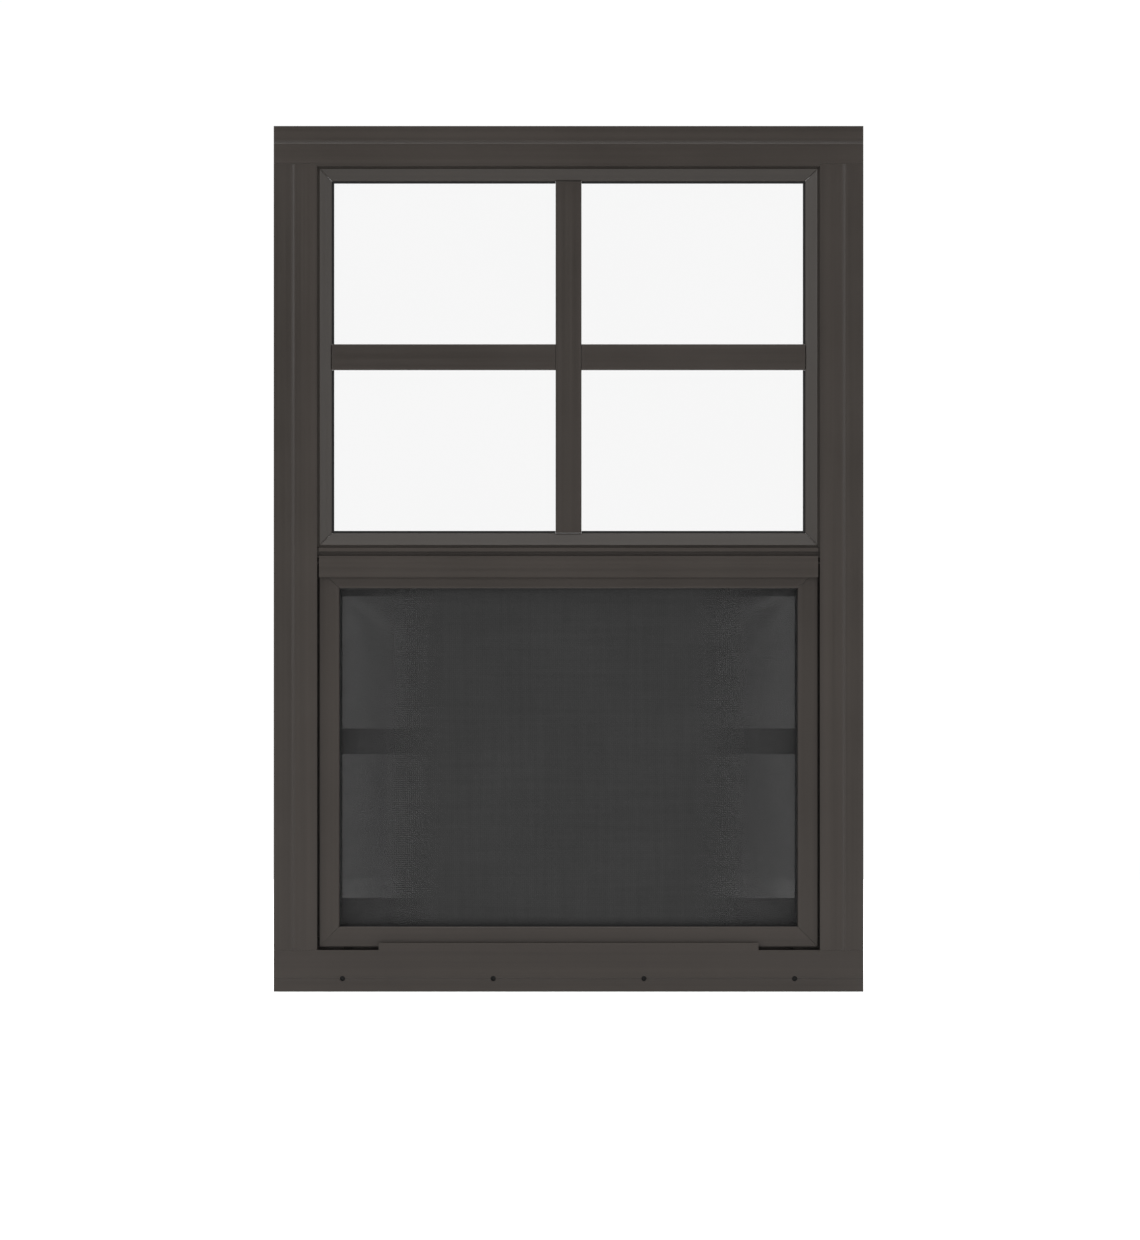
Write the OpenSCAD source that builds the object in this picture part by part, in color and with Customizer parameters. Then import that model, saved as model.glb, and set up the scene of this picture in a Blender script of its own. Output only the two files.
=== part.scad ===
// Flush-mount single-hung sash window: a fixed upper lite of four panes over a
// sliding lower sash with a half insect screen, in an aluminium frame with a
// mounting flange. X is to the right seen from outside, Y runs into the building
// and Z is up. The origin is the bottom centre of the frame's body in the plane
// of the wall's outer face, so the flange and all faces in front of it have y < 0.

/* [Opening and frame] */
// Width of the rough opening
opening_w = 457; // [400:1:620]
// Height of the rough opening
opening_h = 686; // [560:1:950]
// Gap between the frame's body and the opening, on each side
fit_play = 2; // [2:0.5:6]
// Width of the mounting flange beyond the frame's body
flange_w = 18; // [14:0.5:30]
// Thickness of the flange and of the face plates
face_t = 1.6; // [1.2:0.1:2.4]
// Thickness of the frame's webs and floors
web_t = 1.6; // [1.2:0.1:2.2]
// Thickness of the legs that part the two pockets
leg_t = 1.4; // [1:0.1:2]
// Width of each jamb's face inside the body's side
jamb_face_in = 18; // [15:0.5:26]
// Height of the head's face below the body's top
head_face_in = 15.4; // [15:0.1:24]
// Height of the sill's face above the body's bottom
sill_face_in = 16.5; // [14:0.1:24]
// How far the head's face is cut back where it meets the jambs
head_notch = 2; // [0.5:0.1:4]
// Gap at the butt joints between extrusions
seam = 0.1; // [0.05:0.05:0.3]

/* [Flange] */
// Distance of the side lines from the flange's edge
side_line = 16; // [12:0.5:24]
// Distance of the top line from the flange's edge
top_line = 13.5; // [8:0.5:20]
// Distance of the bottom line, and of the screw holes, from the flange's edge
bottom_line = 10.9; // [7:0.1:13]
// Width of a line's V groove
line_w = 2.4; // [1.2:0.2:3.2]
// Depth of a line's V groove
line_d = 0.6; // [0.3:0.1:0.9]
// Distance between two neighbouring screw holes
hole_pitch = 125; // [90:1:140]
// Radius of a screw hole
hole_r = 2.2; // [1.6:0.1:2.6]

/* [Sill] */
// Half length of the raised lip that keeps the screen in
lip_half = 157.5; // [100:0.5:180]
// Height of the lip above the sill's face
lip_h = 6; // [4:0.5:8]
// Height of the shelf that the screen stands on
shelf_h = 2.6; // [2:0.1:4]
// Depth of that shelf
shelf_d = 2.6; // [2:0.1:4]
// Height of the ridge between the pockets above the sill's face
ridge_h = 10.5; // [8:0.5:14]
// Height of the sash's floor above the sill's face
sash_floor_h = 4.4; // [3:0.1:8]
// Height of the inside upstand above the sill's face
upstand_h = 14.5; // [10:0.5:18]
// Width of a weep notch
weep_w = 8; // [4:1:14]
// Height of a weep notch
weep_h = 2.5; // [2:0.1:3]

/* [Meeting rail] */
// Height of the meeting rail's lower edge above the body's bottom
meeting_z = 325.7; // [270:0.1:420]
// Height of the meeting rail's flat face
rail_face_h = 17.8; // [15:0.1:26]
// Height of the dark groove above that face
rail_groove_h = 3.7; // [2:0.1:6]
// Height of the lip above the groove
rail_lip_h = 3.2; // [2:0.1:6]
// Gap between the rail's face and each jamb's face
rail_end_gap = 1.5; // [0.5:0.1:3]
// Depth of the pocket that takes the screen's top
screen_pocket_h = 11.5; // [9:0.5:13]

/* [Upper lite] */
// Thickness of both panes
glass_t = 3; // [3:0.5:4]
// How far the upper glass passes the daylight side of the faces
upper_bite = 4; // [2:0.5:6]
// Width of a glazing bead
bead_w = 12; // [9:0.5:16]
// Width of the shadow groove between a face and its bead
bead_gap = 2; // [1:0.5:4]
// Wall of a bead
bead_t = 1.4; // [1:0.1:1.6]
// Width of a muntin
muntin_w = 21.5; // [14:0.5:30]
// Thickness of a muntin
muntin_t = 3.2; // [2:0.1:3.4]

/* [Screen] */
// Width of a screen bar
screen_bar_w = 16.5; // [14:0.5:20]
// Thickness of a screen bar
screen_t = 9.5; // [8:0.5:11]
// Wall of a screen bar
screen_wall = 1; // [0.6:0.1:1.2]
// Gap in front of the screen, behind the sill's lip and the meeting rail
screen_front_play = 1.6; // [0.5:0.1:3]
// Gap between the screen and each jamb's face
screen_side_gap = 1.8; // [1:0.1:4]
// How far the screen reaches up behind the meeting rail
screen_hidden = 7.4; // [5:0.1:8]
// Thickness of the screen cloth
cloth_t = 0.4; // [0.2:0.1:0.6]
// Width of the groove that holds the cloth
spline_w = 3.3; // [3:0.1:4]

/* [Lower sash] */
// Gap between the sash and each jamb's web
sash_side_play = 1.5; // [1:0.1:3]
// Gap between the sash and the parting legs
sash_front_play = 1.2; // [1:0.1:2]
// Gap between the sash and the inside legs
sash_back_play = 1.6; // [1:0.1:3]
// Thickness of the sash
sash_t = 14.4; // [14:0.1:18]
// Wall of the sash's extrusions
sash_wall = 1.4; // [1:0.1:1.6]
// Gap under the closed sash, filled by its seal
sash_foot_gap = 2.1; // [1.5:0.1:4]
// Height of the sash's top above the meeting rail's lower edge
sash_overlap = 22.3; // [22:0.1:26]
// Face width of a stile
stile_w = 34.8; // [32:0.1:44]
// Face height of the bottom rail
bottom_rail_h = 35.6; // [34:0.1:44]
// Face height of the top rail
top_rail_h = 38; // [36:0.5:46]
// Depth of the glazing channels
channel_d = 12; // [11:0.5:14]
// How deep the lower glass sits in the channels
lower_bite = 10; // [7:0.5:10]
// Height of the lower cross muntin above the middle of its lite
lower_muntin_rise = 5; // [0:0.5:20]
// Room left between the raised sash and the top of the frame's body
head_room = 59; // [40:1:120]
// Height of the lift lip above the bottom rail's foot
lift_lip_h = 23.6; // [20:0.1:23.6]
// Depth of the lift lip
lift_lip_d = 9; // [6:0.5:14]

/* [Latches] */
// Radius of a latch bolt
bolt_r = 3.2; // [2.8:0.1:3.3]
// Gap between a bolt's tip and the jamb's web when it is drawn back
bolt_tip_gap = 0.4; // [0.3:0.1:1]
// How far a bolt springs out
bolt_out = 3.5; // [2.5:0.1:3.6]
// How far a bolt can be drawn in
bolt_in = 2; // [1:0.1:3]
// Length of a latch housing
housing_l = 40; // [34:1:60]
// Radius of the spring's wire
spring_wire_r = 0.35; // [0.25:0.05:0.45]
// Number of the spring's turns
spring_turns = 7; // [4:1:10]

/* [Screws] */
// Radius of a frame screw's shank
screw_r = 1.8; // [1.2:0.1:2]
// Length of a frame screw's shank
screw_l = 18; // [12:1:24]
// Radius of a sash screw's shank
sash_screw_r = 1.5; // [1:0.1:1.6]
// Length of a sash screw's shank
sash_screw_l = 15; // [10:1:20]

/* [Hidden] */
$fn = 48;

bronze = [0.27, 0.25, 0.23];
bronze_light = [0.33, 0.31, 0.28];
black_rubber = [0.08, 0.08, 0.08];
clear_glass = [0.85, 0.9, 0.9, 0.4];
cloth_grey = [0.2, 0.2, 0.2];
zinc = [0.7, 0.7, 0.72];

// Small clearances
slip = 0.2;          // between parts that are pushed together
run = 0.05;          // around a bolt or a spring's rod
screw_free = 0.3;    // around a screw where it passes through a wall
screw_bite = 0.1;    // around a screw in its boss

// Frame, across
body_x = opening_w / 2 - fit_play;
body_h = opening_h - 2 * fit_play;
flange_x = body_x + flange_w;
web_x = body_x - web_t;
fill_x = web_x - seam;
face_x = body_x - jamb_face_in;
leg_reach = 8;
leg_x = face_x - leg_reach;
room_leg_x = face_x + 2.5;

// Frame, into the wall: the outer pocket takes the screen and the upper glass, and
// the inner one takes the sash
screen_y0 = screen_front_play;
screen_y1 = screen_y0 + screen_t;
leg_y0 = screen_y1 + 0.3;
leg_y1 = leg_y0 + leg_t;
sash_y0 = leg_y1 + sash_front_play;
sash_y1 = sash_y0 + sash_t;
room_y0 = sash_y1 + sash_back_play;
frame_depth = room_y0 + web_t;

// Frame, upwards
flange_z0 = -flange_w;
flange_z1 = body_h + flange_w;
sill_z = sill_face_in;
head_z = body_h - head_face_in;
ridge_z = sill_z + ridge_h;
shelf_z = sill_z + shelf_h;
sash_floor_z = sill_z + sash_floor_h;
upstand_z = sill_z + upstand_h;
room_leg_drop = 13;

// Screw bosses in the head and the sill: [y, z]
boss_r = 3.2;
boss_bore_r = screw_r + screw_bite;
sill_bosses = [
    [leg_y0 / 2, sill_z - web_t - boss_r + 0.5],
    [(leg_y1 + room_y0) / 2, sash_floor_z - web_t - boss_r + 0.5]
];
head_bosses = [for (b = sill_bosses) [b[0], body_h - web_t - boss_r + 0.5]];
screw_head_r = 3.2;
screw_head_h = 1.7;

// Meeting rail
rail_top_z = meeting_z + rail_face_h;
rail_lip_z = rail_top_z + rail_groove_h;
upper_z0 = rail_lip_z + rail_lip_h;
rail_face_x = face_x - rail_end_gap;
rail_back_x = leg_x - 0.5;
rail_end_y = leg_y0 - slip;
rail_web_t = 1.4;
groove_floor_y = 1.4;
rail_boss_r = (rail_face_h - screen_pocket_h) / 2 - run;
rail_boss = [leg_y0 * 0.6, (meeting_z + screen_pocket_h + rail_top_z) / 2];
hook_t = 1;
hook_h = 10;

// Upper lite: e is the distance inwards from the daylight side of the faces
upper_z1 = head_z;
upper_h = upper_z1 - upper_z0;
upper_mid_z = (upper_z0 + upper_z1) / 2;
gasket_t = 1.6;
upper_glass_y = leg_y0 - 2 * slip - gasket_t - glass_t;
upper_gasket_in = bead_w - 4.6;
bead_nose_y = -1;
bead_toe_y = upper_glass_y - 2;
bead_tuck = 6;
bead_snap = 3;

// Screen
screen_x = face_x - screen_side_gap;
screen_z0 = shelf_z + slip;
screen_z1 = meeting_z + screen_hidden;
screen_box_w = screen_bar_w - spline_w - 1;
spline_y = screen_y0 + 2 * screen_wall;
cloth_y = screen_y1 - 2.6;
screen_mid_z = (screen_z0 + screen_z1) / 2;
key_leg = 30;

// Lower sash
sash_x = web_x - sash_side_play;
sash_z0 = sash_floor_z + sash_foot_gap;
sash_z1 = meeting_z + sash_overlap;
stile_x = sash_x - stile_w;
box_x = stile_x + channel_d;
rail_x = box_x - seam;
lite_z0 = sash_z0 + bottom_rail_h;
lite_z1 = sash_z1 - top_rail_h;
lite_mid_z = (lite_z0 + lite_z1) / 2;
top_rail_y0 = sash_y0 + 2.4;
lower_glass_y = sash_y0 + (sash_t - glass_t) / 2 + 0.3;
cheek_t = 1.4;
travel = body_h - head_room - sash_z1;
corner_boss_r = 3;
corner_boss_in = sash_wall + 2.7;
sash_head_r = 2.6;
sash_head_h = 1.9;
hook_x = stile_x - 2.6;

// Latches: the bolt's axis, and its places along X on the right side
bolt_y = sash_y0 + sash_t / 2;
bolt_z = sash_z0 + (bottom_rail_h - channel_d) / 2;
bolt_tip_x = web_x - bolt_tip_gap;
housing_x1 = rail_x - 14.5;
housing_x0 = housing_x1 - housing_l;
housing_back = 4;
shoulder_x = housing_x0 + housing_back + 18;
tail_r = 1.5;
tab_x0 = shoulder_x + 6;
tab_w = 6;
tab_h = 6;
tab_y1 = sash_y1 + 7.6;
strike_r = bolt_r + 0.6;
strike_heights = [bolt_z, bolt_z + travel];

// A 2D strip from u0 to u1 and from v0 to v1
module strip(u0, u1, v0, v1) {
    translate([u0, v0]) square([u1 - u0, v1 - v0]);
}

// Extrusions of a section along X (section in Y and Z), Y (in X and Z) and Z (in X and Y)
module along_x(x0, x1) {
    translate([x0, 0, 0]) rotate([90, 0, 90]) linear_extrude(x1 - x0) children();
}

module along_y(y0, y1) {
    translate([0, y1, 0]) rotate([90, 0, 0]) linear_extrude(y1 - y0) children();
}

module along_z(z0, z1) {
    translate([0, 0, z0]) linear_extrude(z1 - z0) children();
}

// A block centred on X
module pane(half, y0, y1, z0, z1) {
    translate([-half, y0, z0]) cube([2 * half, y1 - y0, z1 - z0]);
}

// A round rod or a drill along X
module rod_x(x0, x1, r, at) {
    translate([x0, at[0], at[1]]) rotate([0, 90, 0]) cylinder(h = x1 - x0, r = r);
}

// The same on both sides
module both_sides() {
    children();
    mirror([1, 0, 0]) children();
}

// The four sides of a rectangle; a section's e points inwards from its outer edge
module at_top(z) {
    translate([0, 0, z]) mirror([0, 0, 1]) children();
}

module at_right(x, z_mid) {
    translate([x, 0, z_mid]) rotate([0, -90, 0]) children();
}

module at_left(x, z_mid) {
    mirror([1, 0, 0]) at_right(x, z_mid) children();
}

// A run along X whose ends are mitred; its section is given in Y and e
module mitred(run_l) {
    out = 8;
    in = 20;
    half = (run_l - seam) / 2;
    intersection() {
        along_x(-half - out, half + out) children();
        along_y(-5, 20) polygon([
            [-half - out, -out], [half + out, -out], [half - in, in], [in - half, in]
        ]);
    }
}

// V groove in the front of a face plate, as a cutter section across u
module line_cut(u) {
    polygon([
        [u - line_w / 2, -face_t - 0.01], [u + line_w / 2, -face_t - 0.01],
        [u, line_d - face_t]
    ]);
}

// Frame --------------------------------------------------------------------

module head() {
    color(bronze) difference() {
        union() {
            along_x(-flange_x, flange_x) strip(-face_t, 0, head_z, flange_z1);
            along_x(-fill_x, fill_x) head_body();
        }
        along_x(-flange_x - 1, flange_x + 1)
            mirror([1, -1, 0]) line_cut(flange_z1 - top_line);
        both_sides() translate([face_x, -face_t - 1, head_z - 1])
            cube([flange_x - face_x + 1, face_t + 1, head_notch + seam + 1]);
        for (b = head_bosses) rod_x(-fill_x - 1, fill_x + 1, boss_bore_r, b);
    }
}

module head_body() {
    strip(0, frame_depth, body_h - web_t, body_h);
    strip(leg_y0, leg_y1, head_z - leg_reach, body_h);
    strip(room_y0, frame_depth, body_h - room_leg_drop, body_h);
    for (b = head_bosses) translate(b) circle(boss_r);
}

module sill() {
    color(bronze) difference() {
        union() {
            along_x(-flange_x, flange_x) strip(-face_t, 0, flange_z0, sill_z);
            along_x(-lip_half, lip_half) strip(-face_t, 0, sill_z - 1, sill_z + lip_h);
            along_x(-fill_x, fill_x) sill_body();
        }
        along_x(-flange_x - 1, flange_x + 1)
            mirror([1, -1, 0]) line_cut(flange_z0 + bottom_line);
        for (b = sill_bosses) rod_x(-fill_x - 1, fill_x + 1, boss_bore_r, b);
        for (x = [-1.5, -0.5, 0.5, 1.5] * hole_pitch)
            translate([x, 1, flange_z0 + bottom_line])
                rotate([90, 0, 0]) cylinder(h = face_t + 2, r = hole_r);
        both_sides() weep_notches();
    }
}

module sill_body() {
    strip(0, frame_depth, 0, web_t);
    strip(0, leg_y1, sill_z - web_t, sill_z);
    strip(leg_y0 - shelf_d, leg_y1, sill_z - web_t, shelf_z);
    strip(leg_y0, leg_y1, 0, ridge_z);
    strip(leg_y0, frame_depth, sash_floor_z - web_t, sash_floor_z);
    strip(room_y0, frame_depth, 0, upstand_z);
    for (b = sill_bosses) translate(b) circle(boss_r);
}

// Water leaves the sash's floor through the ridge, and the shelf to the open slot
module weep_notches() {
    x = (lip_half + face_x) / 2 - weep_w / 2;
    translate([x, leg_y0 - 1, sash_floor_z]) cube([weep_w, leg_t + 2, weep_h]);
    translate([x, leg_y0 - shelf_d - 1, sill_z]) cube([weep_w, shelf_d + 1, shelf_h + 1]);
}

module jamb() {
    color(bronze) difference() {
        union() {
            along_z(0, body_h) strip(web_x, body_x, 0, frame_depth);
            along_z(sill_z + seam, head_z + head_notch) difference() {
                strip(face_x, flange_x, -face_t, 0);
                line_cut(flange_x - side_line);
            }
            along_z(ridge_z + seam, head_z - leg_reach - seam)
                strip(leg_x, body_x, leg_y0, leg_y1);
            along_z(upstand_z + seam, body_h - room_leg_drop - seam)
                strip(room_leg_x, body_x, room_y0, frame_depth);
        }
        for (b = concat(sill_bosses, head_bosses, [rail_boss]))
            rod_x(web_x - 1, body_x + 1, screw_r + screw_free, b);
        for (z = strike_heights) rod_x(web_x - 1, body_x + 1, strike_r, [bolt_y, z]);
    }
}

module right_jamb() {
    jamb();
}

module left_jamb() {
    mirror([1, 0, 0]) jamb();
}

// Pan-head screw driven towards -X, its head's seat at x
module side_screw(x, at, r, l, head_r, head_h) {
    rod_x(x - l, x + 0.01, r, at);
    rod_x(x, x + head_h, head_r, at);
}

module frame_screws() {
    color(zinc) both_sides() for (b = concat(sill_bosses, head_bosses))
        side_screw(body_x, b, screw_r, screw_l, screw_head_r, screw_head_h);
}

module meeting_rail_screws() {
    color(zinc) both_sides()
        side_screw(body_x, rail_boss, screw_r, screw_l, screw_head_r, screw_head_h);
}

module meeting_rail() {
    color(bronze) difference() {
        intersection() {
            along_x(-fill_x, fill_x) meeting_rail_section();
            union() {
                pane(fill_x, slip, rail_end_y, 0, body_h);
                pane(rail_face_x, -face_t - 1, rail_end_y, 0, body_h);
                pane(rail_back_x, -face_t - 1, leg_y1, 0, body_h);
                pane(hook_x, -face_t - 1, frame_depth, 0, body_h);
            }
        }
        rod_x(-fill_x - 1, fill_x + 1, boss_bore_r, rail_boss);
    }
}

module meeting_rail_section() {
    hook_y = leg_y1 + 2;
    hook_z = meeting_z + 9.3;
    strip(-face_t, 0, meeting_z, rail_top_z);
    strip(-face_t, leg_y1, rail_top_z - rail_web_t, rail_top_z);
    strip(-face_t, leg_y1, meeting_z + screen_pocket_h, meeting_z + screen_pocket_h + rail_web_t);
    strip(groove_floor_y, groove_floor_y + rail_web_t, rail_top_z - rail_web_t, upper_z0);
    strip(-face_t, groove_floor_y + rail_web_t, rail_lip_z, upper_z0);
    strip(leg_y0, leg_y1, meeting_z, upper_z0 + leg_reach);
    strip(leg_y1 - leg_t, hook_y + hook_t, hook_z, hook_z + rail_web_t);
    strip(hook_y, hook_y + hook_t, hook_z, hook_z + hook_h);
    translate(rail_boss) circle(rail_boss_r);
}

// Upper lite ---------------------------------------------------------------

module upper_glass() {
    color(clear_glass) pane(
        face_x + upper_bite, upper_glass_y, upper_glass_y + glass_t,
        upper_z0 - upper_bite, upper_z1 + upper_bite
    );
}

// U-shaped gasket around a pane of glass: the frame that it wraps has a half width,
// a foot and a top, and the glass bites into it
module gasket(half, z0, z1, glass_y, bite, inner) {
    free = 0.1;
    color(black_rubber) difference() {
        pane(
            half + bite + gasket_t, glass_y - gasket_t, glass_y + glass_t + gasket_t,
            z0 - bite - gasket_t, z1 + bite + gasket_t
        );
        pane(
            half + bite + free, glass_y - free, glass_y + glass_t + free,
            z0 - bite - free, z1 + bite + free
        );
        pane(half - inner, 0, frame_depth, z0 + inner, z1 - inner);
    }
}

module upper_gasket() {
    gasket(face_x, upper_z0, upper_z1, upper_glass_y, upper_bite, upper_gasket_in);
}

// Two blocks carry the upper glass in the meeting rail's channel
module glazing_blocks() {
    block_l = 40;
    block_x = face_x / 2;
    color(black_rubber) both_sides()
        translate([block_x - block_l / 2, upper_glass_y - 1, rail_top_z + 0.1])
            cube([block_l, glass_t + 2, upper_z0 - upper_bite - gasket_t - rail_top_z - slip]);
}

// A bead's sloped face, from its nose at the shadow groove to its toe on the glass
module bead_slope() {
    slope = (bead_toe_y - bead_nose_y) / (bead_w - bead_gap);
    drop = bead_t * sqrt(1 + slope * slope);
    heel_e = bead_gap + bead_t;
    toe_e = bead_w - bead_t;
    back_y = upper_glass_y - gasket_t - slip;
    polygon([
        [bead_nose_y, bead_gap], [back_y, bead_gap], [back_y, heel_e],
        [bead_nose_y + slope * (heel_e - bead_gap) + drop, heel_e],
        [bead_nose_y + slope * (toe_e - bead_gap) + drop, toe_e],
        [upper_glass_y - slip, toe_e], [upper_glass_y - slip, bead_w],
        [bead_toe_y, bead_w]
    ]);
}

// The bead that tucks behind a face plate
module tucked_bead() {
    bead_slope();
    strip(slip, slip + bead_t, -bead_tuck, bead_gap + bead_t / 2);
}

// The bead that snaps in behind the meeting rail's lip
module snap_bead() {
    snap_y = groove_floor_y + rail_web_t + slip;
    bead_slope();
    strip(slip, slip + bead_t, slip, bead_gap + bead_t / 2);
    strip(snap_y, upper_glass_y - gasket_t - slip, -bead_snap, bead_gap + bead_t / 2);
}

module top_bead() {
    color(bronze_light) at_top(upper_z1) mitred(2 * face_x) tucked_bead();
}

module bottom_bead() {
    color(bronze_light) translate([0, 0, upper_z0]) mitred(2 * face_x) snap_bead();
}

// A side bead's tuck stops above the meeting rail
module side_bead() {
    color(bronze_light) difference() {
        at_right(face_x, upper_mid_z) mitred(upper_h) tucked_bead();
        pane(flange_x, -1, leg_y0, 0, upper_z0 + seam);
    }
}

module right_bead() {
    side_bead();
}

module left_bead() {
    mirror([1, 0, 0]) side_bead();
}

// A muntin's section, across u, standing on the glass at v1
module muntin_section(v1) {
    edge = 0.6;
    half = muntin_w / 2;
    v0 = v1 - muntin_t;
    polygon([
        [-half, v1], [-half, v0 + edge], [edge - half, v0],
        [half - edge, v0], [half, v0 + edge], [half, v1]
    ]);
}

// Vertical muntin, halved at its back where the cross muntin passes
module muntin_vertical(z0, z1, z_cross, glass_y) {
    back_y = glass_y - 0.1;
    color(bronze) difference() {
        along_z(z0, z1) muntin_section(back_y);
        pane(
            muntin_w, back_y - muntin_t / 2, back_y + 1,
            z_cross - (muntin_w + seam) / 2, z_cross + (muntin_w + seam) / 2
        );
    }
}

// Cross muntin, halved at its front where the vertical muntin passes
module muntin_horizontal(half, z_cross, glass_y) {
    back_y = glass_y - 0.1;
    color(bronze) difference() {
        translate([0, 0, z_cross]) along_x(-half, half) mirror([1, -1, 0]) muntin_section(back_y);
        pane(
            (muntin_w + seam) / 2, back_y - muntin_t - 1, back_y - muntin_t / 2 + seam,
            z_cross - muntin_w, z_cross + muntin_w
        );
    }
}

module upper_muntin_vertical() {
    reach = bead_w + seam;
    muntin_vertical(upper_z0 + reach, upper_z1 - reach, upper_mid_z, upper_glass_y);
}

module upper_muntin_horizontal() {
    muntin_horizontal(face_x - bead_w - seam, upper_mid_z, upper_glass_y);
}

// Screen -------------------------------------------------------------------

// A screen bar: a hollow box, the spline's groove open to the inside, and a bevelled
// front edge around the cloth
module screen_section() {
    bevel = 0.8;
    difference() {
        union() {
            strip(screen_y0, screen_y1, 0, screen_box_w);
            strip(screen_y0, spline_y, 0, screen_bar_w);
            strip(screen_y0, cloth_y - 0.1, screen_bar_w - 1, screen_bar_w);
        }
        strip(
            screen_y0 + screen_wall, screen_y1 - screen_wall,
            screen_wall, screen_box_w - screen_wall
        );
        polygon([
            [screen_y0 - 1, screen_bar_w - bevel - 1], [screen_y0 - 1, screen_bar_w + 1],
            [screen_y0 + bevel + 1, screen_bar_w + 1]
        ]);
    }
}

module screen_bottom_rail() {
    color(bronze) translate([0, 0, screen_z0]) mitred(2 * screen_x) screen_section();
}

module screen_top_rail() {
    color(bronze) at_top(screen_z1) mitred(2 * screen_x) screen_section();
}

module screen_right_stile() {
    color(bronze) at_right(screen_x, screen_mid_z) mitred(screen_z1 - screen_z0) screen_section();
}

module screen_left_stile() {
    color(bronze) at_left(screen_x, screen_mid_z) mitred(screen_z1 - screen_z0) screen_section();
}

module screen_corner_keys() {
    edge = screen_wall + slip;
    wide = screen_box_w - 2 * edge;
    color(black_rubber) both_sides()
        for (flip = [0, 1])
            translate([0, 0, screen_mid_z]) mirror([0, 0, flip]) translate([0, 0, -screen_mid_z])
                along_y(screen_y0 + edge, screen_y1 - edge) union() {
                    translate([screen_x - edge - key_leg, screen_z0 + edge]) square([key_leg, wide]);
                    translate([screen_x - edge - wide, screen_z0 + edge]) square([wide, key_leg]);
                }
}

module screen_cloth() {
    in = screen_box_w + 0.4;
    color(cloth_grey)
        pane(screen_x - in, cloth_y, cloth_y + cloth_t, screen_z0 + in, screen_z1 - in);
}

module screen_spline() {
    in = screen_box_w + slip;
    w = spline_w - 2 * slip;
    color(black_rubber) difference() {
        pane(screen_x - in, spline_y + 0.1, spline_y + 0.1 + w, screen_z0 + in, screen_z1 - in);
        pane(screen_x - in - w, 0, frame_depth, screen_z0 + in + w, screen_z1 - in - w);
    }
}

// Lower sash ---------------------------------------------------------------

// A sash extrusion's hollow box, e inwards from its outer edge
module sash_box(w, front_y) {
    difference() {
        strip(0, w - channel_d, front_y, sash_y1);
        strip(
            sash_wall, w - channel_d - sash_wall,
            front_y + sash_wall, sash_y1 - sash_wall
        );
    }
}

// The two cheeks of a glazing channel
module cheeks(w) {
    gap = gasket_t + slip;
    strip(w - channel_d, w, lower_glass_y - gap - cheek_t, lower_glass_y - gap);
    strip(w - channel_d, w, lower_glass_y + glass_t + gap, lower_glass_y + glass_t + gap + cheek_t);
}

// Corner screws, [y, e] in the bottom rail and in the top rail
bottom_corner_screws = [
    [sash_y0 + corner_boss_in, corner_boss_in],
    [sash_y0 + corner_boss_in, bottom_rail_h - channel_d - corner_boss_in]
];
top_corner_screws = [
    [top_rail_y0 + corner_boss_in, corner_boss_in],
    [top_rail_y0 + corner_boss_in, top_rail_h - channel_d - corner_boss_in]
];
corner_screws = concat(
    [for (s = bottom_corner_screws) [s[0], sash_z0 + s[1]]],
    [for (s = top_corner_screws) [s[0], sash_z1 - s[1]]]
);

module stile() {
    difference() {
        union() {
            along_z(sash_z0, sash_z1)
                translate([sash_x, 0]) mirror([1, 0]) sash_box(stile_w, sash_y0);
            along_z(lite_z0 + seam, lite_z1 - seam)
                translate([sash_x, 0]) mirror([1, 0]) cheeks(stile_w);
        }
        for (s = corner_screws) {
            rod_x(box_x - 1, box_x + sash_wall + 1, sash_screw_r + screw_free, s);
            rod_x(sash_x - sash_wall - 1, sash_x + 1, sash_head_r + screw_free, s);
        }
        rod_x(box_x - 1, sash_x + 1, bolt_r + screw_free, [bolt_y, bolt_z]);
    }
}

module sash_right_stile() {
    color(bronze) stile();
}

module sash_left_stile() {
    color(bronze) mirror([1, 0, 0]) stile();
}

module sash_screws() {
    color(zinc) both_sides() for (s = corner_screws)
        side_screw(box_x + sash_wall, s, sash_screw_r, sash_screw_l, sash_head_r, sash_head_h);
}

// The bottom rail, with the lip that lifts the sash and a slot for each latch's tab
module sash_bottom_rail() {
    color(bronze) difference() {
        along_x(-rail_x, rail_x) bottom_rail_section();
        for (s = bottom_corner_screws)
            rod_x(-rail_x - 1, rail_x + 1, sash_screw_r + screw_bite, [s[0], sash_z0 + s[1]]);
        both_sides() tab_slot(sash_y1 - sash_wall - 1, sash_y1 + 1);
    }
}

module bottom_rail_section() {
    lip_z = sash_z0 + lift_lip_h;
    translate([0, sash_z0]) {
        mirror([1, -1, 0]) sash_box(bottom_rail_h, sash_y0);
        mirror([1, -1, 0]) cheeks(bottom_rail_h);
        for (s = bottom_corner_screws) translate(s) circle(corner_boss_r);
    }
    strip(sash_y1 - sash_wall, sash_y1 + lift_lip_d, lip_z - sash_wall, lip_z);
    strip(sash_y1 + lift_lip_d - sash_wall, sash_y1 + lift_lip_d, lip_z - 4, lip_z);
}

// The top rail, with the hook that locks into the meeting rail's hook
module sash_top_rail() {
    color(bronze) difference() {
        union() {
            along_x(-rail_x, rail_x) translate([0, sash_z1]) mirror([0, 1]) top_rail_section();
            along_x(-hook_x, hook_x) top_rail_hook();
        }
        for (s = top_corner_screws)
            rod_x(-rail_x - 1, rail_x + 1, sash_screw_r + screw_bite, [s[0], sash_z1 - s[1]]);
    }
}

module top_rail_section() {
    mirror([1, -1, 0]) sash_box(top_rail_h, top_rail_y0);
    mirror([1, -1, 0]) cheeks(top_rail_h);
    for (s = top_corner_screws) translate(s) circle(corner_boss_r);
}

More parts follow.
